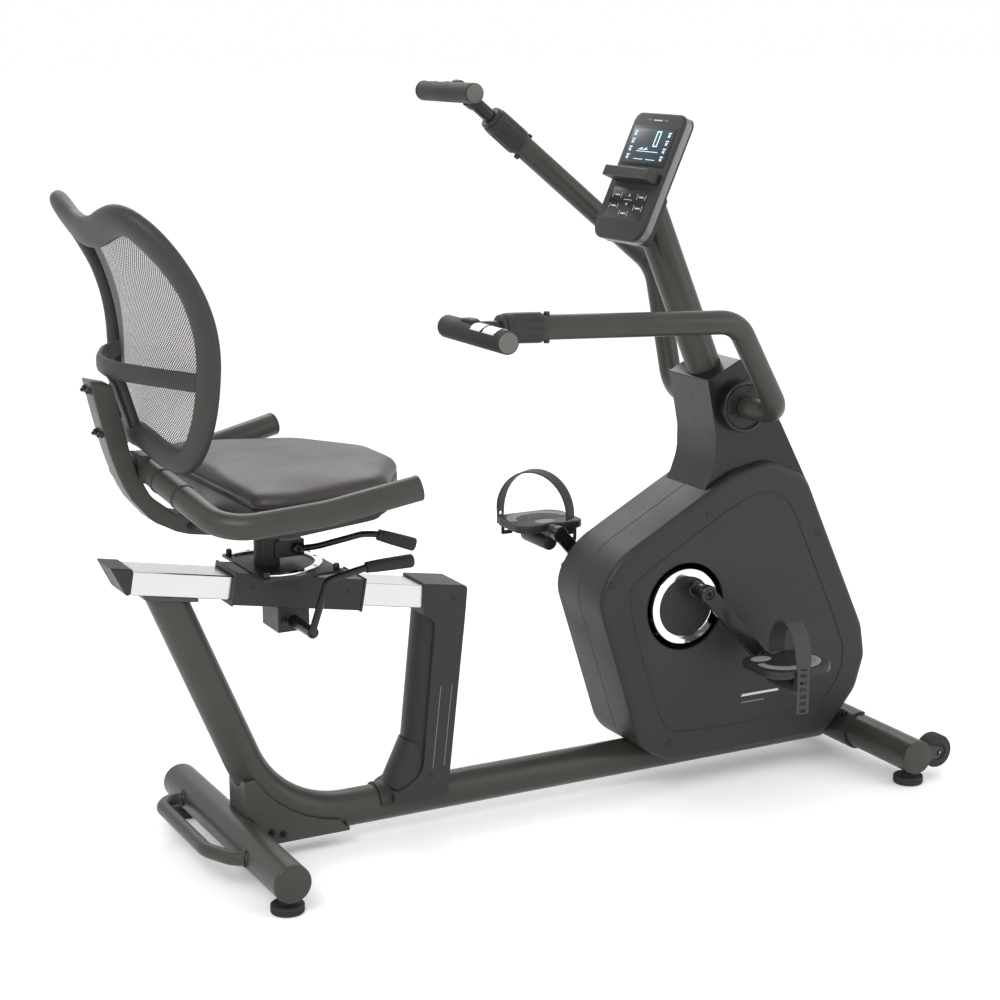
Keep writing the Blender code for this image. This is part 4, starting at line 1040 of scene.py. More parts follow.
def back_bar(name, line, normals, half_width, half_thick, power):
    """Moulded bar of even section behind the mesh."""
    shape = ribbon_tube(
        name,
        line,
        normals,
        [half_width] * len(line),
        [half_thick] * len(line),
        power,
        False,
    )
    piece(shape, f"back_{name}", RIM, SEAT, angle=50)


yoke_half = [
    (-0.174, 0.0, 0.8),
    (-0.168, 0.05, 0.8),
    (-0.142, 0.115, 0.8),
    (-0.103, 0.18, 0.798),
    (-0.088, 0.207, 0.797),
]
yoke = fillet(both_sides(yoke_half), [0, 0.08, 0.1, 0.12, 0.12, 0.12, 0.1, 0.08, 0])
level = []
for i in range(len(yoke)):
    run = (yoke[min(i + 1, len(yoke) - 1)] - yoke[max(i - 1, 0)]).normalized()
    level.append(run.cross(Vector((0, 0, 1))))
back_bar("yoke", yoke, level, 0.0135, 0.0062, 3.0)
strut_points = [(-0.1715, 0, 0.8), (-0.156, 0, 0.775), (-0.138, 0, 0.715), (-0.131, 0, 0.684)]
strut = fillet(strut_points, [0, 0.05, 0.08, 0])
back_bar("strut", strut, [Vector((1, 0, 0.25))] * len(strut), 0.02, 0.0085, 3.2)

# stretched mesh of the back: one layer held in the rim
mesh_edge = even_loop(rounded(inset(rim_outline, 0.03)), 0.008)
MESH_MIDDLE = Vector((0.0, 0.835))
rings = []
for step in range(13):
    share = max(0.004, 1 - step / 12)
    ring = []
    for p in mesh_edge:
        spot = MESH_MIDDLE + (p - MESH_MIDDLE) * share
        forward = 0.0095 + 0.009 * min(1.0, (1 - share) * 3)
        ring.append(Vector((back_x(spot.x, spot.y) + forward, spot.x, spot.y)))
    rings.append(ring)
cloth = skin("cloth", rings, caps=False)
work = bmesh.new()
work.from_mesh(cloth.data)
bmesh.ops.contextual_create(
    work,
    geom=[e for e in work.edges if e.is_boundary and e.calc_length() < 0.0005],
)
work.to_mesh(cloth.data)
work.free()
piece(cloth, "back_net", MESH, SEAT, "back_mesh", angle=80)
low_y, high_y = min(p.x for p in mesh_edge), max(p.x for p in mesh_edge)
ys = [low_y + (high_y - low_y) * k / 40 for k in range(41)]
row = [Vector((back_x(y, 0.85), y, 0)) for y in ys]

# handlebar round the seat
bar_half = [
    (-0.12, 0.000, 0.648),
    (-0.12, 0.06, 0.64),
    (-0.088, 0.243, 0.596),
    (0.06, 0.26, 0.609),
    (0.197, 0.281, 0.637),
]
bar_path = fillet(both_sides(bar_half), [0, 0.2, 0.062, 0.1, 0, 0.1, 0.062, 0.2, 0], step=radians(4))
piece(pipe("bar", bar_path, 0.019, 40, edge=0.0022), "seat_bar", PAINT, SEAT, "seat_handlebar")
for word, side in SIDES:
    end = Vector((0.197, side * 0.281, 0.637))
    along = (end - Vector((0.06, side * 0.26, 0.609))).normalized()
    profile = [(0.0188, 0), (0.0193, 0.0004), (0.0193, 0.001), (0.0188, 0.0014)]
    piece(turned("seam", end - along * 0.0045, along, profile, 44), f"seat_bar_cap_{word}", PAINT, SEAT)
    for k, y in enumerate((0.066, 0.124)):
        spot = Vector((-0.12 + (y - 0.06) * 0.175, side * y, 0.64 - (y - 0.06) * 0.2404))
        along = Vector((0.032, side * 0.183, -0.044)).normalized()
        profile = [(0.019, 0), (0.0203, 0.0008), (0.0203, 0.0052), (0.019, 0.006)]
        piece(turned("sleeve", spot, along, profile, 44), f"seat_bar_sleeve_{word}_{k}", BRACKET, SEAT)
piece(
    block("bracket", (-0.1385, -0.024, 0.6255), (-0.106, 0.024, 0.668), 0.003),
    "seat_bar_bracket",
    BRACKET,
    SEAT,
)
for word, side in SIDES:
    nut_bolt(f"bracket_bolt_{word}", (-0.06, side * 0.0222, 0.553), (0, side, 0), 0.0052, SEAT)

# ---------------------------------------------------------------- housing
HOUSING_CORNERS = [
    (0.817, 0.514),
    (0.886, 0.55),
    (0.96, 0.564),
    (1.033, 0.53),
    (1.065, 0.46),
    (1.164, 0.247),
    (1.173, 0.19),
    (1.155, 0.13),
    (1.093, 0.057),
    (0.765, 0.057),
    (0.705, 0.09),
    (0.618, 0.364),
    (0.656, 0.426),
]
housing_outline = fillet(
    HOUSING_CORNERS,
    [0.1, 0.09, 0.05, 0.06, 0.08, 0.08, 0.05, 0.06, 0.05, 0.06, 0.07, 0.07, 0.12],
    step=radians(4),
    closed=True,
)
neck_corners = [
    (0.835, 0.709),
    (0.899, 0.741),
    (0.927, 0.713),
    (0.983, 0.63),
    (1.049, 0.508),
    (0.824, 0.506),
    (0.848, 0.548),
    (0.857, 0.596),
    (0.849, 0.64),
]
NECK_RADII = [0.003, 0.004, 0.05, 0.15, 0.003, 0.003, 0.08, 0.1, 0.2]
HOUSING_Y = 0.079
CRANK = Vector((0.787, 0, 0.331))
HOUSING_SCREWS = ((0.83, 0.484), (1.058, 0.427), (0.642, 0.384), (0.761, 0.093), (1.086, 0.101))
RECESS = [(0.0066, 0), (0.0066, 0.0012), (0.0056, 0.0014), (0.005, 0.0011), (0.0046, 0.0006)]
HOUSING_MARKS = (
    (0.905, 0.985, 0.153, 0.0042, GLYPH),
    (1.000, 1.045, 0.153, 0.0042, ACCENT),
    (0.905, 0.955, 0.141, 0.0022, LINE),
)


def at_y(outline, y):
    """An XZ outline placed at one side distance."""
    return [Vector((p.x, y, p.y)) for p in outline]


def rolled_edge(side, radius, angles, wall=0.0, depth=0.0):
    """Rings of the housing's rounded edge, on its outer face or a wall's thickness inside."""
    made = []
    for angle in angles:
        back = radius * (1 - cos(radians(angle)))
        drop = radius * (1 - sin(radians(angle)))
        made.append(at_y(inset(housing_outline, wall + back), side * (HOUSING_Y - depth - drop)))
    return made


bead_line = rounded(even_loop(rounded(inset(HOUSING_CORNERS, 0.048), 3), 0.012), 2)
for word, side in SIDES:
    bead = [Vector((p.x, side * (HOUSING_Y + 0.0001), p.y)) for p in bead_line]
    piece(pipe("bead", bead, 0.0013, 10, closed=True), f"housing_bead_{word}", MOULD, FRAME)
    rings = [at_y(inset(housing_outline, 0.022), side * (HOUSING_Y - 0.0042))]
    rings += rolled_edge(side, 0.01, (90, 60, 30, 0), 0.004, 0.0042)
    rings.append(at_y(inset(housing_outline, 0.004), side * 0.0003))
    rings.append(at_y(inset(housing_outline, 0.0006), side * 0.0003))
    rings.append(at_y(housing_outline, side * 0.001))
    rings += rolled_edge(side, 0.011, range(0, 91, 10))
    rings.append(at_y(inset(housing_outline, 0.02), side * HOUSING_Y))
    shell = skin("shell", rings)
    neck_line = fillet(inset(neck_corners, -0.0004), NECK_RADII, closed=True)
    neck_tool = skin("neck_tool", [at_y(neck_line, -0.0604), at_y(neck_line, 0.0604)])
    tube_tool = bar("tube_tool", (0.55, 0, MAIN_Z), (1.25, 0, MAIN_Z), TUBE + 0.0005)
    disc_tool = bar(
        "disc_tool",
        (CRANK.x, side * 0.05, CRANK.z),
        (CRANK.x, side * 0.12, CRANK.z),
        0.0755,
        count=72,
    )
    carve(shell, neck_tool, tube_tool, disc_tool)
    piece(shell, f"housing_shell_{word}", MOULD, FRAME, f"housing_{word}", angle=32)
    lip = ring_path((CRANK.x, side * 0.0788, CRANK.z), (0, 1, 0), 0.0762, 96)
    piece(pipe("lip", lip, 0.0011, 10, closed=True), f"housing_lip_{word}", GLOSS, FRAME)
    for k, (x, z) in enumerate(HOUSING_SCREWS):
        # Near-black ring round each screw: painted shade standing in for the hollow of the screw recess,
        # which the shallow dish is too flat to darken by itself.
        painted_shade_recess = turned("painted_shade_recess", (x, side * 0.0782, z), (0, side, 0), RECESS, 28)
        piece(painted_shade_recess, f"housing_recess_{word}_{k}", KEYPAD, FRAME)
        screw(
            f"housing_screw_{word}_{k}",
            (x, side * 0.0786, z),
            (0, side, 0),
            0.0036,
            FRAME,
            height=0.0008,
        )
    for k, (low_x, high_x, z, height, kind) in enumerate(HOUSING_MARKS):
        strip = [(low_x, z), (high_x, z), (high_x - 0.003, z + height), (low_x + 0.003, z + height)]
        mark = slab("mark", strip, side * HOUSING_Y - 0.0002, side * HOUSING_Y + 0.0003, 0.0001)
        piece(mark, f"housing_mark_{word}_{k}", kind, FRAME)

for word, side in SIDES:
    dress(f"neck_cover_{word}", GLOSS, 0.0016, 40)
    profile = [
        (0.0382, 0.0),
        (0.0384, 0.0022),
        (0.04, 0.003),
        (0.042, 0.0026),
        (0.0434, 0.0012),
        (0.0438, 0.0),
    ]
    piece(
        turned("boss", (0.9, side * 0.0764, 0.662), (0, side, 0), profile, 72),
        f"boss_rim_{word}",
        GLOSS,
        FRAME,
    )
dress("console_post", PAINT, 0.0)
for node, material in (
    ("arm_axle", STEEL),
    ("crank_axle", STEEL),
    ("drive_pulley", MOULD),
    ("drive_bracket", PAINT),
    ("flywheel", IRON),
    ("drive_belt", RUBBER),
    ("magnet_brake", BLACK),
):
    dress(node, material, 0.0004)

# ---------------------------------------------------------------- console
TILT = radians(24)
face_up = Vector((sin(TILT), 0, cos(TILT)))
face_in = Vector((cos(TILT), 0, -sin(TILT)))
ON_FACE = Matrix(
    (
        (0, face_up.x, face_in.x, 0.697),
        (1, face_up.y, face_in.y, 0.0),
        (0, face_up.z, face_in.z, 0.975),
        (0, 0, 0, 1),
    )
)
face_outline = fillet(oblong(-0.075, -0.032, 0.075, 0.187), [0.03, 0.03, 0.018, 0.018], closed=True)


def face_piece(obj, name, material, *nodes):
    """A shape drawn flat on the console's face, put in place."""
    return piece(moved(obj, ON_FACE), name, material, FRAME, *nodes)


face_piece(
    slab("bezel", face_outline, 0.0, 0.0075, 0.0022, "XY", 5),
    "console_bezel",
    MOULD,
    "console_body",
)
face_piece(slab("band", inset(face_outline, 0.0009), 0.007, 0.019, 0.0006, "XY"), "console_band", SILVER)
face_piece(
    slab("rear", inset(face_outline, 0.0004), 0.0186, 0.0222, 0.0016, "XY", 4),
    "console_rear",
    MOULD,
)
neck_line = fillet(oblong(-0.035, -0.026, 0.035, 0.062), [0.01] * 4, closed=True)
face_piece(slab("socket", neck_line, 0.02, 0.0515, 0.003, "XY", 4), "console_socket", MOULD)


def plate(name, low_x, low_y, high_x, high_y, material, depth=0.0004, back=0.0002, corner=0.0):
    outline = oblong(low_x, low_y, high_x, high_y)
    if corner:
        outline = fillet(outline, [corner] * 4, closed=True)
    return face_piece(slab(name, outline, -depth, back, min(depth, 0.0003) * 0.6, "XY"), name, material)


plate("screen_frame", -0.066, 0.0955, 0.066, 0.1635, KEYPAD, 0.0006, 0.0002, 0.003)
glass = plate("screen_glass", -0.061, 0.1, 0.061, 0.159, LCD, 0.001, -0.0004)
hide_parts("console_screen")
CELLS = []
for x in (-0.0555, 0.0465):
    for row in range(4):
        y = 0.1525 - 0.0135 * row
        CELLS.append((x, y, x + 0.0085, y + 0.002))
        CELLS.append((x + 0.001, y - 0.0062, x + 0.003, y - 0.0014))
        CELLS.append((x + 0.0046, y - 0.0062, x + 0.0066, y - 0.0014))
CELLS += [(-0.031, 0.1195, 0.034, 0.1205), (-0.031, 0.106, -0.003, 0.107), (0.006, 0.106, 0.034, 0.107)]
CELLS += [
    (0.012, 0.129, 0.0145, 0.156),
    (0.012, 0.154, 0.025, 0.156),
    (0.0225, 0.129, 0.025, 0.156),
    (0.012, 0.129, 0.025, 0.131),
]
for k in range(9):
    CELLS.append((-0.028 + 0.0035 * k, 0.1225, -0.026 + 0.0035 * k, 0.1235 + 0.0012 * (k % 4)))
segments = []
for low_x, low_y, high_x, high_y in CELLS:
    outline = oblong(-high_x, low_y, -low_x, high_y)
    segments.append(slab("segment", outline, -0.00125, -0.00095, 0.00005, "XY", 1))
face_piece(joined("screen_segments", segments), "screen_segments", SEGMENT)
for k, (low_x, high_x) in enumerate(((-0.03, -0.018), (0.02, 0.032))):
    plate(f"badge_line_{k}", low_x, 0.1735, high_x, 0.1755, LINE)
plate("badge_bar", -0.012, 0.1735, 0.014, 0.1755, GLYPH)
plate("keypad_film", -0.056, 0.002, 0.056, 0.056, KEYPAD, 0.0004, 0.0002, 0.002)
KEY_MIDDLES = ((-0.037, 0.043), (-0.037, 0.024), (0.037, 0.043), (0.037, 0.024), (0.0, 0.013))
ARROW_Z = 0.0365
outlines = []
for x, y in KEY_MIDDLES:
    for side in (-1, 1):
        outlines.append(
            oblong(x + side * 0.0125 - 0.0005, y - 0.0045, x + side * 0.0125 + 0.0005, y + 0.0045)
        )
    outlines.append(oblong(x - 0.0072, y - 0.0012, x + 0.0072, y + 0.0012))
for sign in (-1, 1):
    foot = ARROW_Z + sign * 0.006
    outlines.append([(-0.003, foot), (0.003, foot), (0.0, ARROW_Z + sign * 0.0105)])
outlines.append(oblong(-0.0125, 0.036, 0.0125, 0.037))
glyphs = [slab("glyph", outline, -0.0007, -0.0003, 0.00005, "XY", 1) for outline in outlines]
face_piece(joined("keypad_marks", glyphs), "keypad_marks", GLYPH)
dress("console_shelf", MOULD, 0.0012)
for word, side in SIDES:
    tip = block(
        "tip",
        (side * 0.063 - 0.004, 0.067, -0.0255),
        (side * 0.063 + 0.004, 0.0845, -0.0003),
        0.0018,
    )
    face_piece(tip, f"console_shelf_end_{word}", MOULD)

# ---------------------------------------------------------------- swinging arms
ARM_AT = Vector((0.9, 0, 0.662))
SWING = radians(36.5)
ARM_Y = 0.221
for word, side in SIDES:
    pivot = Matrix.Translation(ARM_AT) @ Matrix.Rotation(SWING if side > 0 else 0.0, 4, "Y")
    arm_body = body_of(f"arm_tube_{word}")
    collar_body = body_of(f"arm_collar_{word}")
    grip_body = body_of(f"hand_grip_{word}")
    end = Vector((-0.473, side * ARM_Y, 0.184))
    grip_at = Vector((-0.608, side * ARM_Y, 0.18975))
    outward = (grip_at - end).normalized()
    arm_path = fillet(
        [
            (0, side * 0.0793, 0),
            (0, side * 0.1, 0),
            (0.01, side * 0.16, 0),
            (-0.121, side * ARM_Y, 0.169),
            tuple(end),
        ],
        [0, 0.05, 0.046, 0.065, 0],
        step=radians(4),
    )
    piece(
        moved(pipe("arm", arm_path, 0.019, 40), pivot),
        f"arm_bar_{word}",
        PAINT,
        arm_body,
        f"arm_tube_{word}",
    )
    profile = [
        (0.0368, 0.0),
        (0.0376, 0.0008),
        (0.0376, 0.0075),
        (0.0362, 0.0092),
        (0.0345, 0.0098),
        (0.0338, 0.0086),
        (0.0246, 0.0086),
        (0.024, 0.0098),
    ]
    hub = turned("hub", (0, side * 0.069, 0), (0, side, 0), profile, 64)
    piece(moved(hub, pivot), f"arm_plate_{word}", DISC, arm_body, f"arm_hub_{word}")
    for k in range(3):
        a = radians(75 + 120 * k)
        head = pivot @ Vector((0.0295 * cos(a), side * 0.0777, 0.0295 * sin(a)))
        screw(f"arm_screw_{word}_{k}", head, (0, side, 0), 0.0036, arm_body, height=0.0014)
    u, v = across(outward)
    flutes = []
    length = 0.0717
    for along, radius, depth in (
        (0.0003, 0.0205, 0),
        (0.001, 0.0222, 0),
        (0.003, 0.0232, 0),
        (0.0095, 0.0232, 0),
        (0.012, 0.0232, 0.0014),
        (0.05, 0.023, 0.0014),
        (0.053, 0.023, 0),
        (0.06, 0.0226, 0),
        (0.064, 0.0218, 0),
        (0.065, 0.0196, 0),
        (0.0665, 0.0192, 0),
        (0.0672, 0.0206, 0),
        (0.0705, 0.0202, 0),
        (0.0717, 0.0184, 0),
        (0.0717, 0.0126, 0),
    ):
        ring = []
        for k in range(96):
            a = 2 * pi * k / 96
            groove = depth if k % 8 < 3 else 0.0
            ring.append(end + outward * along + (u * cos(a) + v * sin(a)) * (radius - groove))
        flutes.append(ring)
    piece(
        moved(skin("collar", flutes), pivot),
        f"arm_sleeve_{word}",
        MOULD,
        collar_body,
        f"arm_collar_{word}",
        angle=30,
    )
    for k, sign in enumerate((-1, 1)):
        spot = end - outward * 0.01 + Vector((0, 0, sign * 0.019))
        screw(f"arm_bolt_{word}_{k}", spot, (0, 0, sign), 0.0048, arm_body, height=0.0048, place=pivot)
    stem = bar("stem", end - outward * 0.108, grip_at, 0.0118, count=32)
    piece(moved(stem, pivot), f"grip_stem_{word}", BLACK, grip_body, f"hand_grip_{word}")
    low = Vector((grip_at.x, side * 0.177, grip_at.z))
    profile = [
        (0.0142, 0.003),
        (0.016, 0.0026),
        (0.017, 0.004),
        (0.017, 0.076),
        (0.0171, 0.1),
        (0.0171, 0.188),
        (0.0166, 0.1895),
        (0.0166, 0.1902),
        (0.017, 0.1908),
        (0.017, 0.1935),
        (0.0163, 0.1943),
    ]
    grip = turned("grip", low, (0, side, 0), profile, 48)
    piece(moved(grip, pivot), f"grip_sleeve_{word}", FOAM, grip_body)
    for k, along in enumerate((0.0, 0.193)):
        disc = [(0.014, 0.0), (0.015, 0.0005), (0.0155, 0.0015), (0.0155, 0.003)]
        if k:
            disc = [(0.0155, 0.0), (0.0155, 0.001), (0.015, 0.0017), (0.014, 0.002)]
        cap = turned("cap", low + Vector((0, side * along, 0)), (0, side, 0), disc, 44)
        piece(moved(cap, pivot), f"grip_cap_{word}_{k}", CAP_GREY, grip_body)
    boss = [(0.0128, 0.0), (0.0142, 0.004), (0.015, 0.016)]
    collar = turned("boss", grip_at - outward * 0.03, outward, boss, 40)
    piece(moved(collar, pivot), f"grip_boss_{word}", MOULD, grip_body)
    for k, (first, last) in enumerate(((0.104, 0.134), (0.142, 0.176))):
        rings = []
        for radius in (0.0172, 0.0177):
            for along in (first, last):
                arc = [radians(28 + 12 * j) for j in range(11)]
                rings.append([low + Vector((radius * cos(a), side * along, radius * sin(a))) for a in arc])
        work = bmesh.new()
        grid = [[work.verts.new(p) for p in ring] for ring in (rings[0], rings[1], rings[3], rings[2])]
        for a, b in zip(grid, grid[1:] + grid[:1]):
            for i in range(10):
                work.faces.new((a[i], a[i + 1], b[i + 1], b[i]))
        for i in (0, 10):
            work.faces.new([row[i] for row in grid])
        piece(moved(mesh_object("sensor", work), pivot), f"grip_sensor_{word}_{k}", CHROME, grip_body)
    switch = [(0.058, 0.0165), (0.096, 0.0165), (0.094, 0.019), (0.086, 0.0212), (0.062, 0.02)]
    lever = slab("switch", [Vector((a, b)) for a, b in switch], -0.0075, 0.0075, 0.0012, "YZ")
    moved(lever, Matrix.Translation(low) @ Matrix.Scale(side, 4, (0, 1, 0)))
    piece(moved(lever, pivot), f"grip_switch_{word}", MOULD, grip_body)
    for k, along in enumerate((0.03, 0.05, 0.15)):
        head = low + Vector((0, side * along, -0.0169))
        screw(f"grip_screw_{word}_{k}", head, (0, 0, -1), 0.0026, grip_body, height=0.0004, place=pivot)

# ---------------------------------------------------------------- crank set
CRANK_BODY = body_of("crank_disc_right")
HUB_AT = Vector((0.018, 0.029))
END_AT = Vector((0.133, -0.098))


def capsule(start, start_radius, end, end_radius, steps=18):
    """Outline of a bar with round ends of two sizes."""
    along = atan2((end - start).y, (end - start).x)
    tilt = pi / 2 - (start_radius - end_radius) / (end - start).length
    points = []
    for k in range(steps + 1):
        angle = along + tilt + (2 * pi - 2 * tilt) * k / steps
        points.append(Vector((start.x + start_radius * cos(angle), start.y + start_radius * sin(angle))))
    for k in range(steps + 1):
        angle = along - tilt + 2 * tilt * k / steps
        points.append(Vector((end.x + end_radius * cos(angle), end.y + end_radius * sin(angle))))
    return points


for word, side in SIDES:
    hub_at = HUB_AT * -side
    end_at = END_AT * -side
    face = Vector((CRANK.x, side * 0.0728, CRANK.z))
    profile = [
        (0.064, 0.0),
        (0.065, 0.0008),
        (0.065, 0.0052),
        (0.0646, 0.0058),
        (0.051, 0.0058),
        (0.0505, 0.0062),
        (0.03, 0.0066),
    ]
    piece(
        turned("disc", face, (0, side, 0), profile, 96),
        f"crank_plate_{word}",
        DISC,
        CRANK_BODY,
        f"crank_disc_{word}",
    )
    hoop = []
    for radius, along in (
        (0.0516, 0.005),
        (0.0516, 0.0074),
        (0.0524, 0.0081),
        (0.0638, 0.0081),
        (0.0647, 0.0073),
        (0.0647, 0.005),
    ):
        u, v = across((0, side, 0))
        hoop.append(circle(face + Vector((0, side * along, 0)), u, v, radius, 112))
    piece(skin("hoop", hoop, True), f"crank_ring_{word}", CHROME, CRANK_BODY)
    for k, angle in enumerate((115, 235, 330)):
        a = radians(angle if side < 0 else 180 - angle)
        head = face + Vector((0.034 * cos(a), side * 0.0066, 0.034 * sin(a)))
        screw(f"crank_screw_{word}_{k}", head, (0, side, 0), 0.004, CRANK_BODY, DISC, 0.0008)
    hub = Vector((CRANK.x + hub_at.x, 0, CRANK.z + hub_at.y))
    stub = [(0.0135, 0.0), (0.0135, 0.004), (0.0112, 0.0052), (0.0112, 0.0306)]
    piece(
        turned("stub", hub + Vector((0, side * 0.0792, 0)), (0, side, 0), stub, 40),
        f"crank_stub_{word}",
        BLACK,
        CRANK_BODY,
    )
    for k, offset in enumerate((0.007, 0.021)):
        u = Vector((-0.7, 0, 0.7)) * -side
        screw(
            f"stub_bolt_{word}_{k}",
            hub + Vector((0, side * (0.08 + offset), 0)) + u.normalized() * 0.011,
            u,
            0.0046,
            CRANK_BODY,
            height=0.0045,
        )
    outline = [Vector((CRANK.x + p.x, CRANK.z + p.y)) for p in capsule(hub_at, 0.0135, end_at, 0.012)]
    low, high = sorted((side * 0.1115, side * 0.123))
    piece(
        slab("arm", outline, low, high, 0.0018, "XZ", 4),
        f"crank_lever_{word}",
        BLACK,
        CRANK_BODY,
        f"crank_arm_{word}",
    )
    for k, (spot, radius) in enumerate(((hub_at, 0.015), (end_at, 0.0138))):
        centre = Vector((CRANK.x + spot.x, side * 0.1108, CRANK.z + spot.y))
        profile = [(radius - 0.0012, 0.0), (radius, 0.0012), (radius, 0.0132), (radius - 0.001, 0.0142)]
        if k == 0:
            profile += [(radius * 0.62, 0.0142), (radius * 0.6, 0.0122)]
        boss = turned("boss", centre, (0, side, 0), profile, 48)
        piece(boss, f"crank_boss_{word}_{k}", BLACK, CRANK_BODY)
        if k == 0:
            screw(
                f"crank_socket_{word}",
                centre + Vector((0, side * 0.0122, 0)),
                (0, side, 0),
                0.0082,
                CRANK_BODY,
                height=0.0016,
            )
    tip = Vector((CRANK.x + end_at.x, 0, CRANK.z + end_at.y))
    piece(
        bar("spindle", tip + Vector((0, side * 0.118, 0)), tip + Vector((0, side * 0.232, 0)), 0.006),
        f"pedal_spindle_{word}",
        STEEL,
        CRANK_BODY,
    )

# ---------------------------------------------------------------- pedals and straps
PEDAL_Y = 0.192
STRAP_RISE = {"right": 0.084, "left": 0.096}
STRAP_SLANT = {"right": radians(12), "left": radians(34)}
STRAP_TAIL = {"right": -0.06, "left": -0.004}
STRAP_HALF = 0.0145


def mirrored_outline(points, side):
    """The outline on its own side, running the same way round."""
    points = [Vector((x, side * y)) for x, y in points]
    return points if side > 0 else points[::-1]


def arc_points(centre, reach, first, last, count):
    """Points along part of an ellipse."""
    angles = [first + (last - first) * k / count for k in range(count + 1)]
    return [(centre[0] + reach[0] * cos(a), centre[1] + reach[1] * sin(a)) for a in angles]


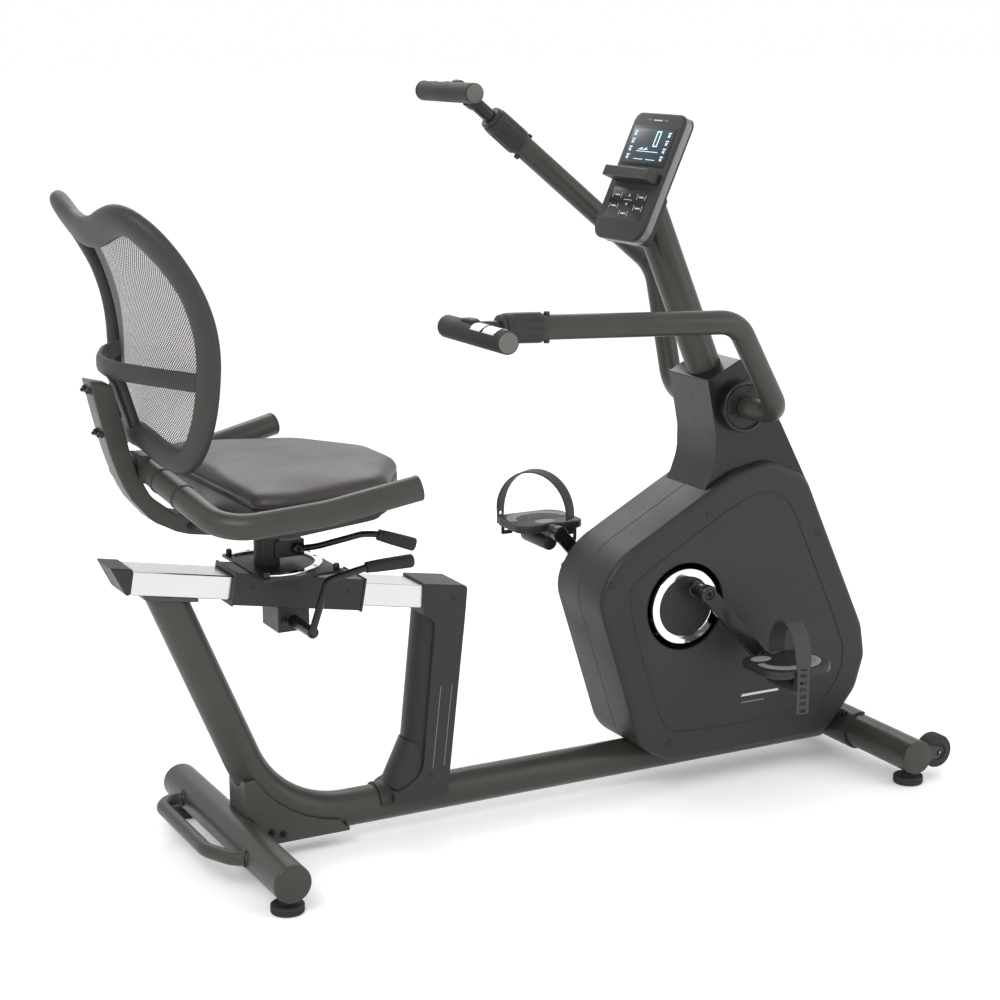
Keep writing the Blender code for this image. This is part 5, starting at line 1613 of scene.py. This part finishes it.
for word, side in SIDES:
    centre = Matrix.Translation((CRANK.x - side * END_AT.x, 0, CRANK.z - side * END_AT.y))
    body = body_of(f"pedal_{word}")
    near, far = PEDAL_Y - 0.054, PEDAL_Y + 0.054
    low, high = -0.065, 0.065
    pad_outline = fillet(
        [
            (low, near),
            (-0.024, near),
            (0, near + 0.009),
            (0.024, near),
            (high, near),
            (high, far),
            (low, far),
        ],
        [0.022, 0.02, 0.02, 0.02, 0.022, 0.034, 0.034],
        closed=True,
    )
    pad_outline = mirrored_outline([(p.x, p.y) for p in pad_outline], side)
    pad = slab("pad", pad_outline, 0.0004, 0.0138, 0.0032, "XY", 4)
    piece(moved(pad, centre), f"pedal_body_{word}", MOULD, body, f"pedal_{word}")
    crescent = arc_points((0, PEDAL_Y + 0.002), (0.058, 0.046), radians(-12), radians(192), 40)
    crescent += arc_points((0, PEDAL_Y - 0.003), (0.044, 0.032), radians(186), radians(-6), 40)
    oval_x = -0.034 if side < 0 else -0.004
    oval = arc_points((oval_x, PEDAL_Y - 0.03), (0.019, 0.013), 0, 2 * pi * 0.98, 36)
    for k, outline in enumerate((crescent, oval)):
        grip = slab("grip", mirrored_outline(outline, side), 0.013, 0.0146, 0.0007, "XY")
        piece(moved(grip, centre), f"pedal_grip_{word}_{k}", PAD, body)
    ribs = []
    for k in range(11):
        x = -0.04 + 0.008 * k
        reach = 0.026 * sqrt(max(0.0, 1 - (x / 0.044) ** 2)) + 0.002
        low_y, high_y = sorted((side * (PEDAL_Y - 0.012), side * (PEDAL_Y - 0.004 + reach)))
        ribs.append(block("rib", (x - 0.0015, low_y, 0.0132), (x + 0.0015, high_y, 0.0145), 0.0005))
    piece(moved(joined("ribs", ribs), centre), f"pedal_ribs_{word}", MOULD, body)
    dots = []
    for k in range(26):
        a = radians(-8 + 7.8 * k)
        x, y = 0.051 * cos(a), PEDAL_Y + 0.039 * sin(a)
        dots.append(bar("dot", (x, side * y, 0.014), (x, side * y, 0.0152), 0.0016, 0.0004, 12))
    piece(moved(joined("dots", dots), centre), f"pedal_dots_{word}", PAD, body)
    barrel = bar("barrel", (0, side * 0.1275, 0), (0, side * 0.24, 0), 0.0122, 0.0016, 40)
    weight = bar("weight", (0, side * 0.148, -0.0225), (0, side * 0.236, -0.0225), 0.0138, 0.004, 40)
    piece(moved(barrel, centre), f"pedal_barrel_{word}", MOULD, body)
    piece(moved(weight, centre), f"pedal_weight_{word}", MOULD, body)
    tab_x = 0.054 * tan(STRAP_SLANT[word])
    for k, (x, y) in enumerate(((-tab_x, 0.24175), (tab_x, 0.14175))):
        outline = oblong(x - 0.011, -0.022, x + 0.011, 0.006)
        outline = fillet(outline, [0.003, 0.003, 0.001, 0.001], closed=True)
        tab = slab("tab", outline, side * y - 0.0017, side * y + 0.0017, 0.0006)
        slot = block(
            "slot",
            (x - 0.0055, side * y - 0.01, -0.015),
            (x + 0.0055, side * y + 0.01, -0.009),
            0.0005,
        )
        carve(tab, slot)
        piece(moved(tab, centre), f"pedal_tab_{word}_{k}", MOULD, body)
    slant, rise, tail = STRAP_SLANT[word], STRAP_RISE[word], STRAP_TAIL[word]
    stretch = 1 / cos(slant)
    reach = (0.053 + STRAP_HALF * sin(slant)) * stretch
    inner = -0.053 * stretch
    middle, span = (reach + inner) / 2, (reach - inner) / 2
    links = round((0.021 - tail) / 0.003)
    loop = [Vector((reach, tail + 0.003 * k)) for k in range(links)]
    for k in range(37):
        angle = pi * k / 36
        loop.append(Vector((middle + span * cos(angle), 0.022 + (rise - 0.022) * sin(angle))))
    loop.append(Vector((inner, 0.0165)))
    work = bmesh.new()
    rows = []
    for k, p in enumerate(loop):
        width = STRAP_HALF
        if p.x > 0 and p.y < 0.04:
            width = STRAP_HALF - 0.0035 * min(1.0, (0.04 - p.y) / 0.03)
        rows.append([work.verts.new((x, p.x, p.y)) for x in (-width, -width * 0.5, width * 0.5, width)])
    for k, (a, b) in enumerate(zip(rows, rows[1:])):
        for i in range(3):
            if i == 1 and k < links - 1 and k % 4 in (1, 2):
                continue
            work.faces.new((a[i], a[i + 1], b[i + 1], b[i]))
    strap = mesh_object("strap", work)
    thick = strap.modifiers.new("thick", "SOLIDIFY")
    thick.thickness = 0.0028
    thick.offset = 0.0
    soft = strap.modifiers.new("soft", "BEVEL")
    soft.width = 0.0005
    soft.segments = 2
    soft.limit_method = "ANGLE"
    refined(strap)
    turn = Matrix.Rotation(side * slant, 4, "Z") @ Matrix.Scale(side, 4, (0, 1, 0))
    moved(strap, centre @ Matrix.Translation((0, side * 0.1963, 0)) @ turn)
    if side < 0:
        strap.data.flip_normals()
    piece(strap, f"strap_band_{word}", STRAP, body_of(f"pedal_strap_{word}"), f"pedal_strap_{word}")

# ---------------------------------------------------------------- floor, light and camera
floor_mesh = bmesh.new()
bmesh.ops.create_grid(floor_mesh, x_segments=1, y_segments=1, size=60)
floor = mesh_object("studio_floor", floor_mesh)
floor.location.z = -0.0005
floor_look, floor_tree = new_material("studio_floor")
set_sockets(
    floor_tree.nodes["Principled BSDF"],
    Base_Color=(0.93, 0.93, 0.925, 1),
    Roughness=0.9,
    Emission_Color=(1, 1, 1, 1),
    Emission_Strength=0.12,
)
floor.data.materials.append(floor_look)

world = bpy.data.worlds.new("studio")
bpy.context.scene.world = world
world.use_nodes = True
set_sockets(world.node_tree.nodes["Background"], Color=(1, 1, 1, 1), Strength=1.0)


def lamp(name, place, target, size, power):
    """Soft area light aimed at a point."""
    data = bpy.data.lights.new(name, "AREA")
    data.shape = "RECTANGLE"
    data.size, data.size_y = size
    data.energy = power
    obj = bpy.data.objects.new(name, data)
    bpy.context.scene.collection.objects.link(obj)
    obj.location = place
    obj.rotation_euler = (Vector(target) - Vector(place)).to_track_quat("-Z", "Y").to_euler()


lamp("key", (-2.6, -2.2, 3.4), (0, 0, 0.5), (2.4, 2.0), 75)
lamp("fill", (2.8, -2.6, 1.8), (0.1, 0, 0.5), (2.0, 2.4), 25)
lamp("rim", (0.6, 2.6, 2.6), (0, 0, 0.6), (2.6, 1.2), 30)

camera = bpy.data.objects.new("camera", bpy.data.cameras.new("camera"))
bpy.context.scene.collection.objects.link(camera)
camera.location = (-1.58955, -2.9157, 1.28498)
camera.rotation_euler = (radians(77.15), 0, -radians(27.94))
camera.data.lens = 74.87
camera.data.sensor_width = 36
camera.data.clip_end = 200
bpy.context.scene.camera = camera
bpy.context.scene.view_settings.view_transform = "Standard"
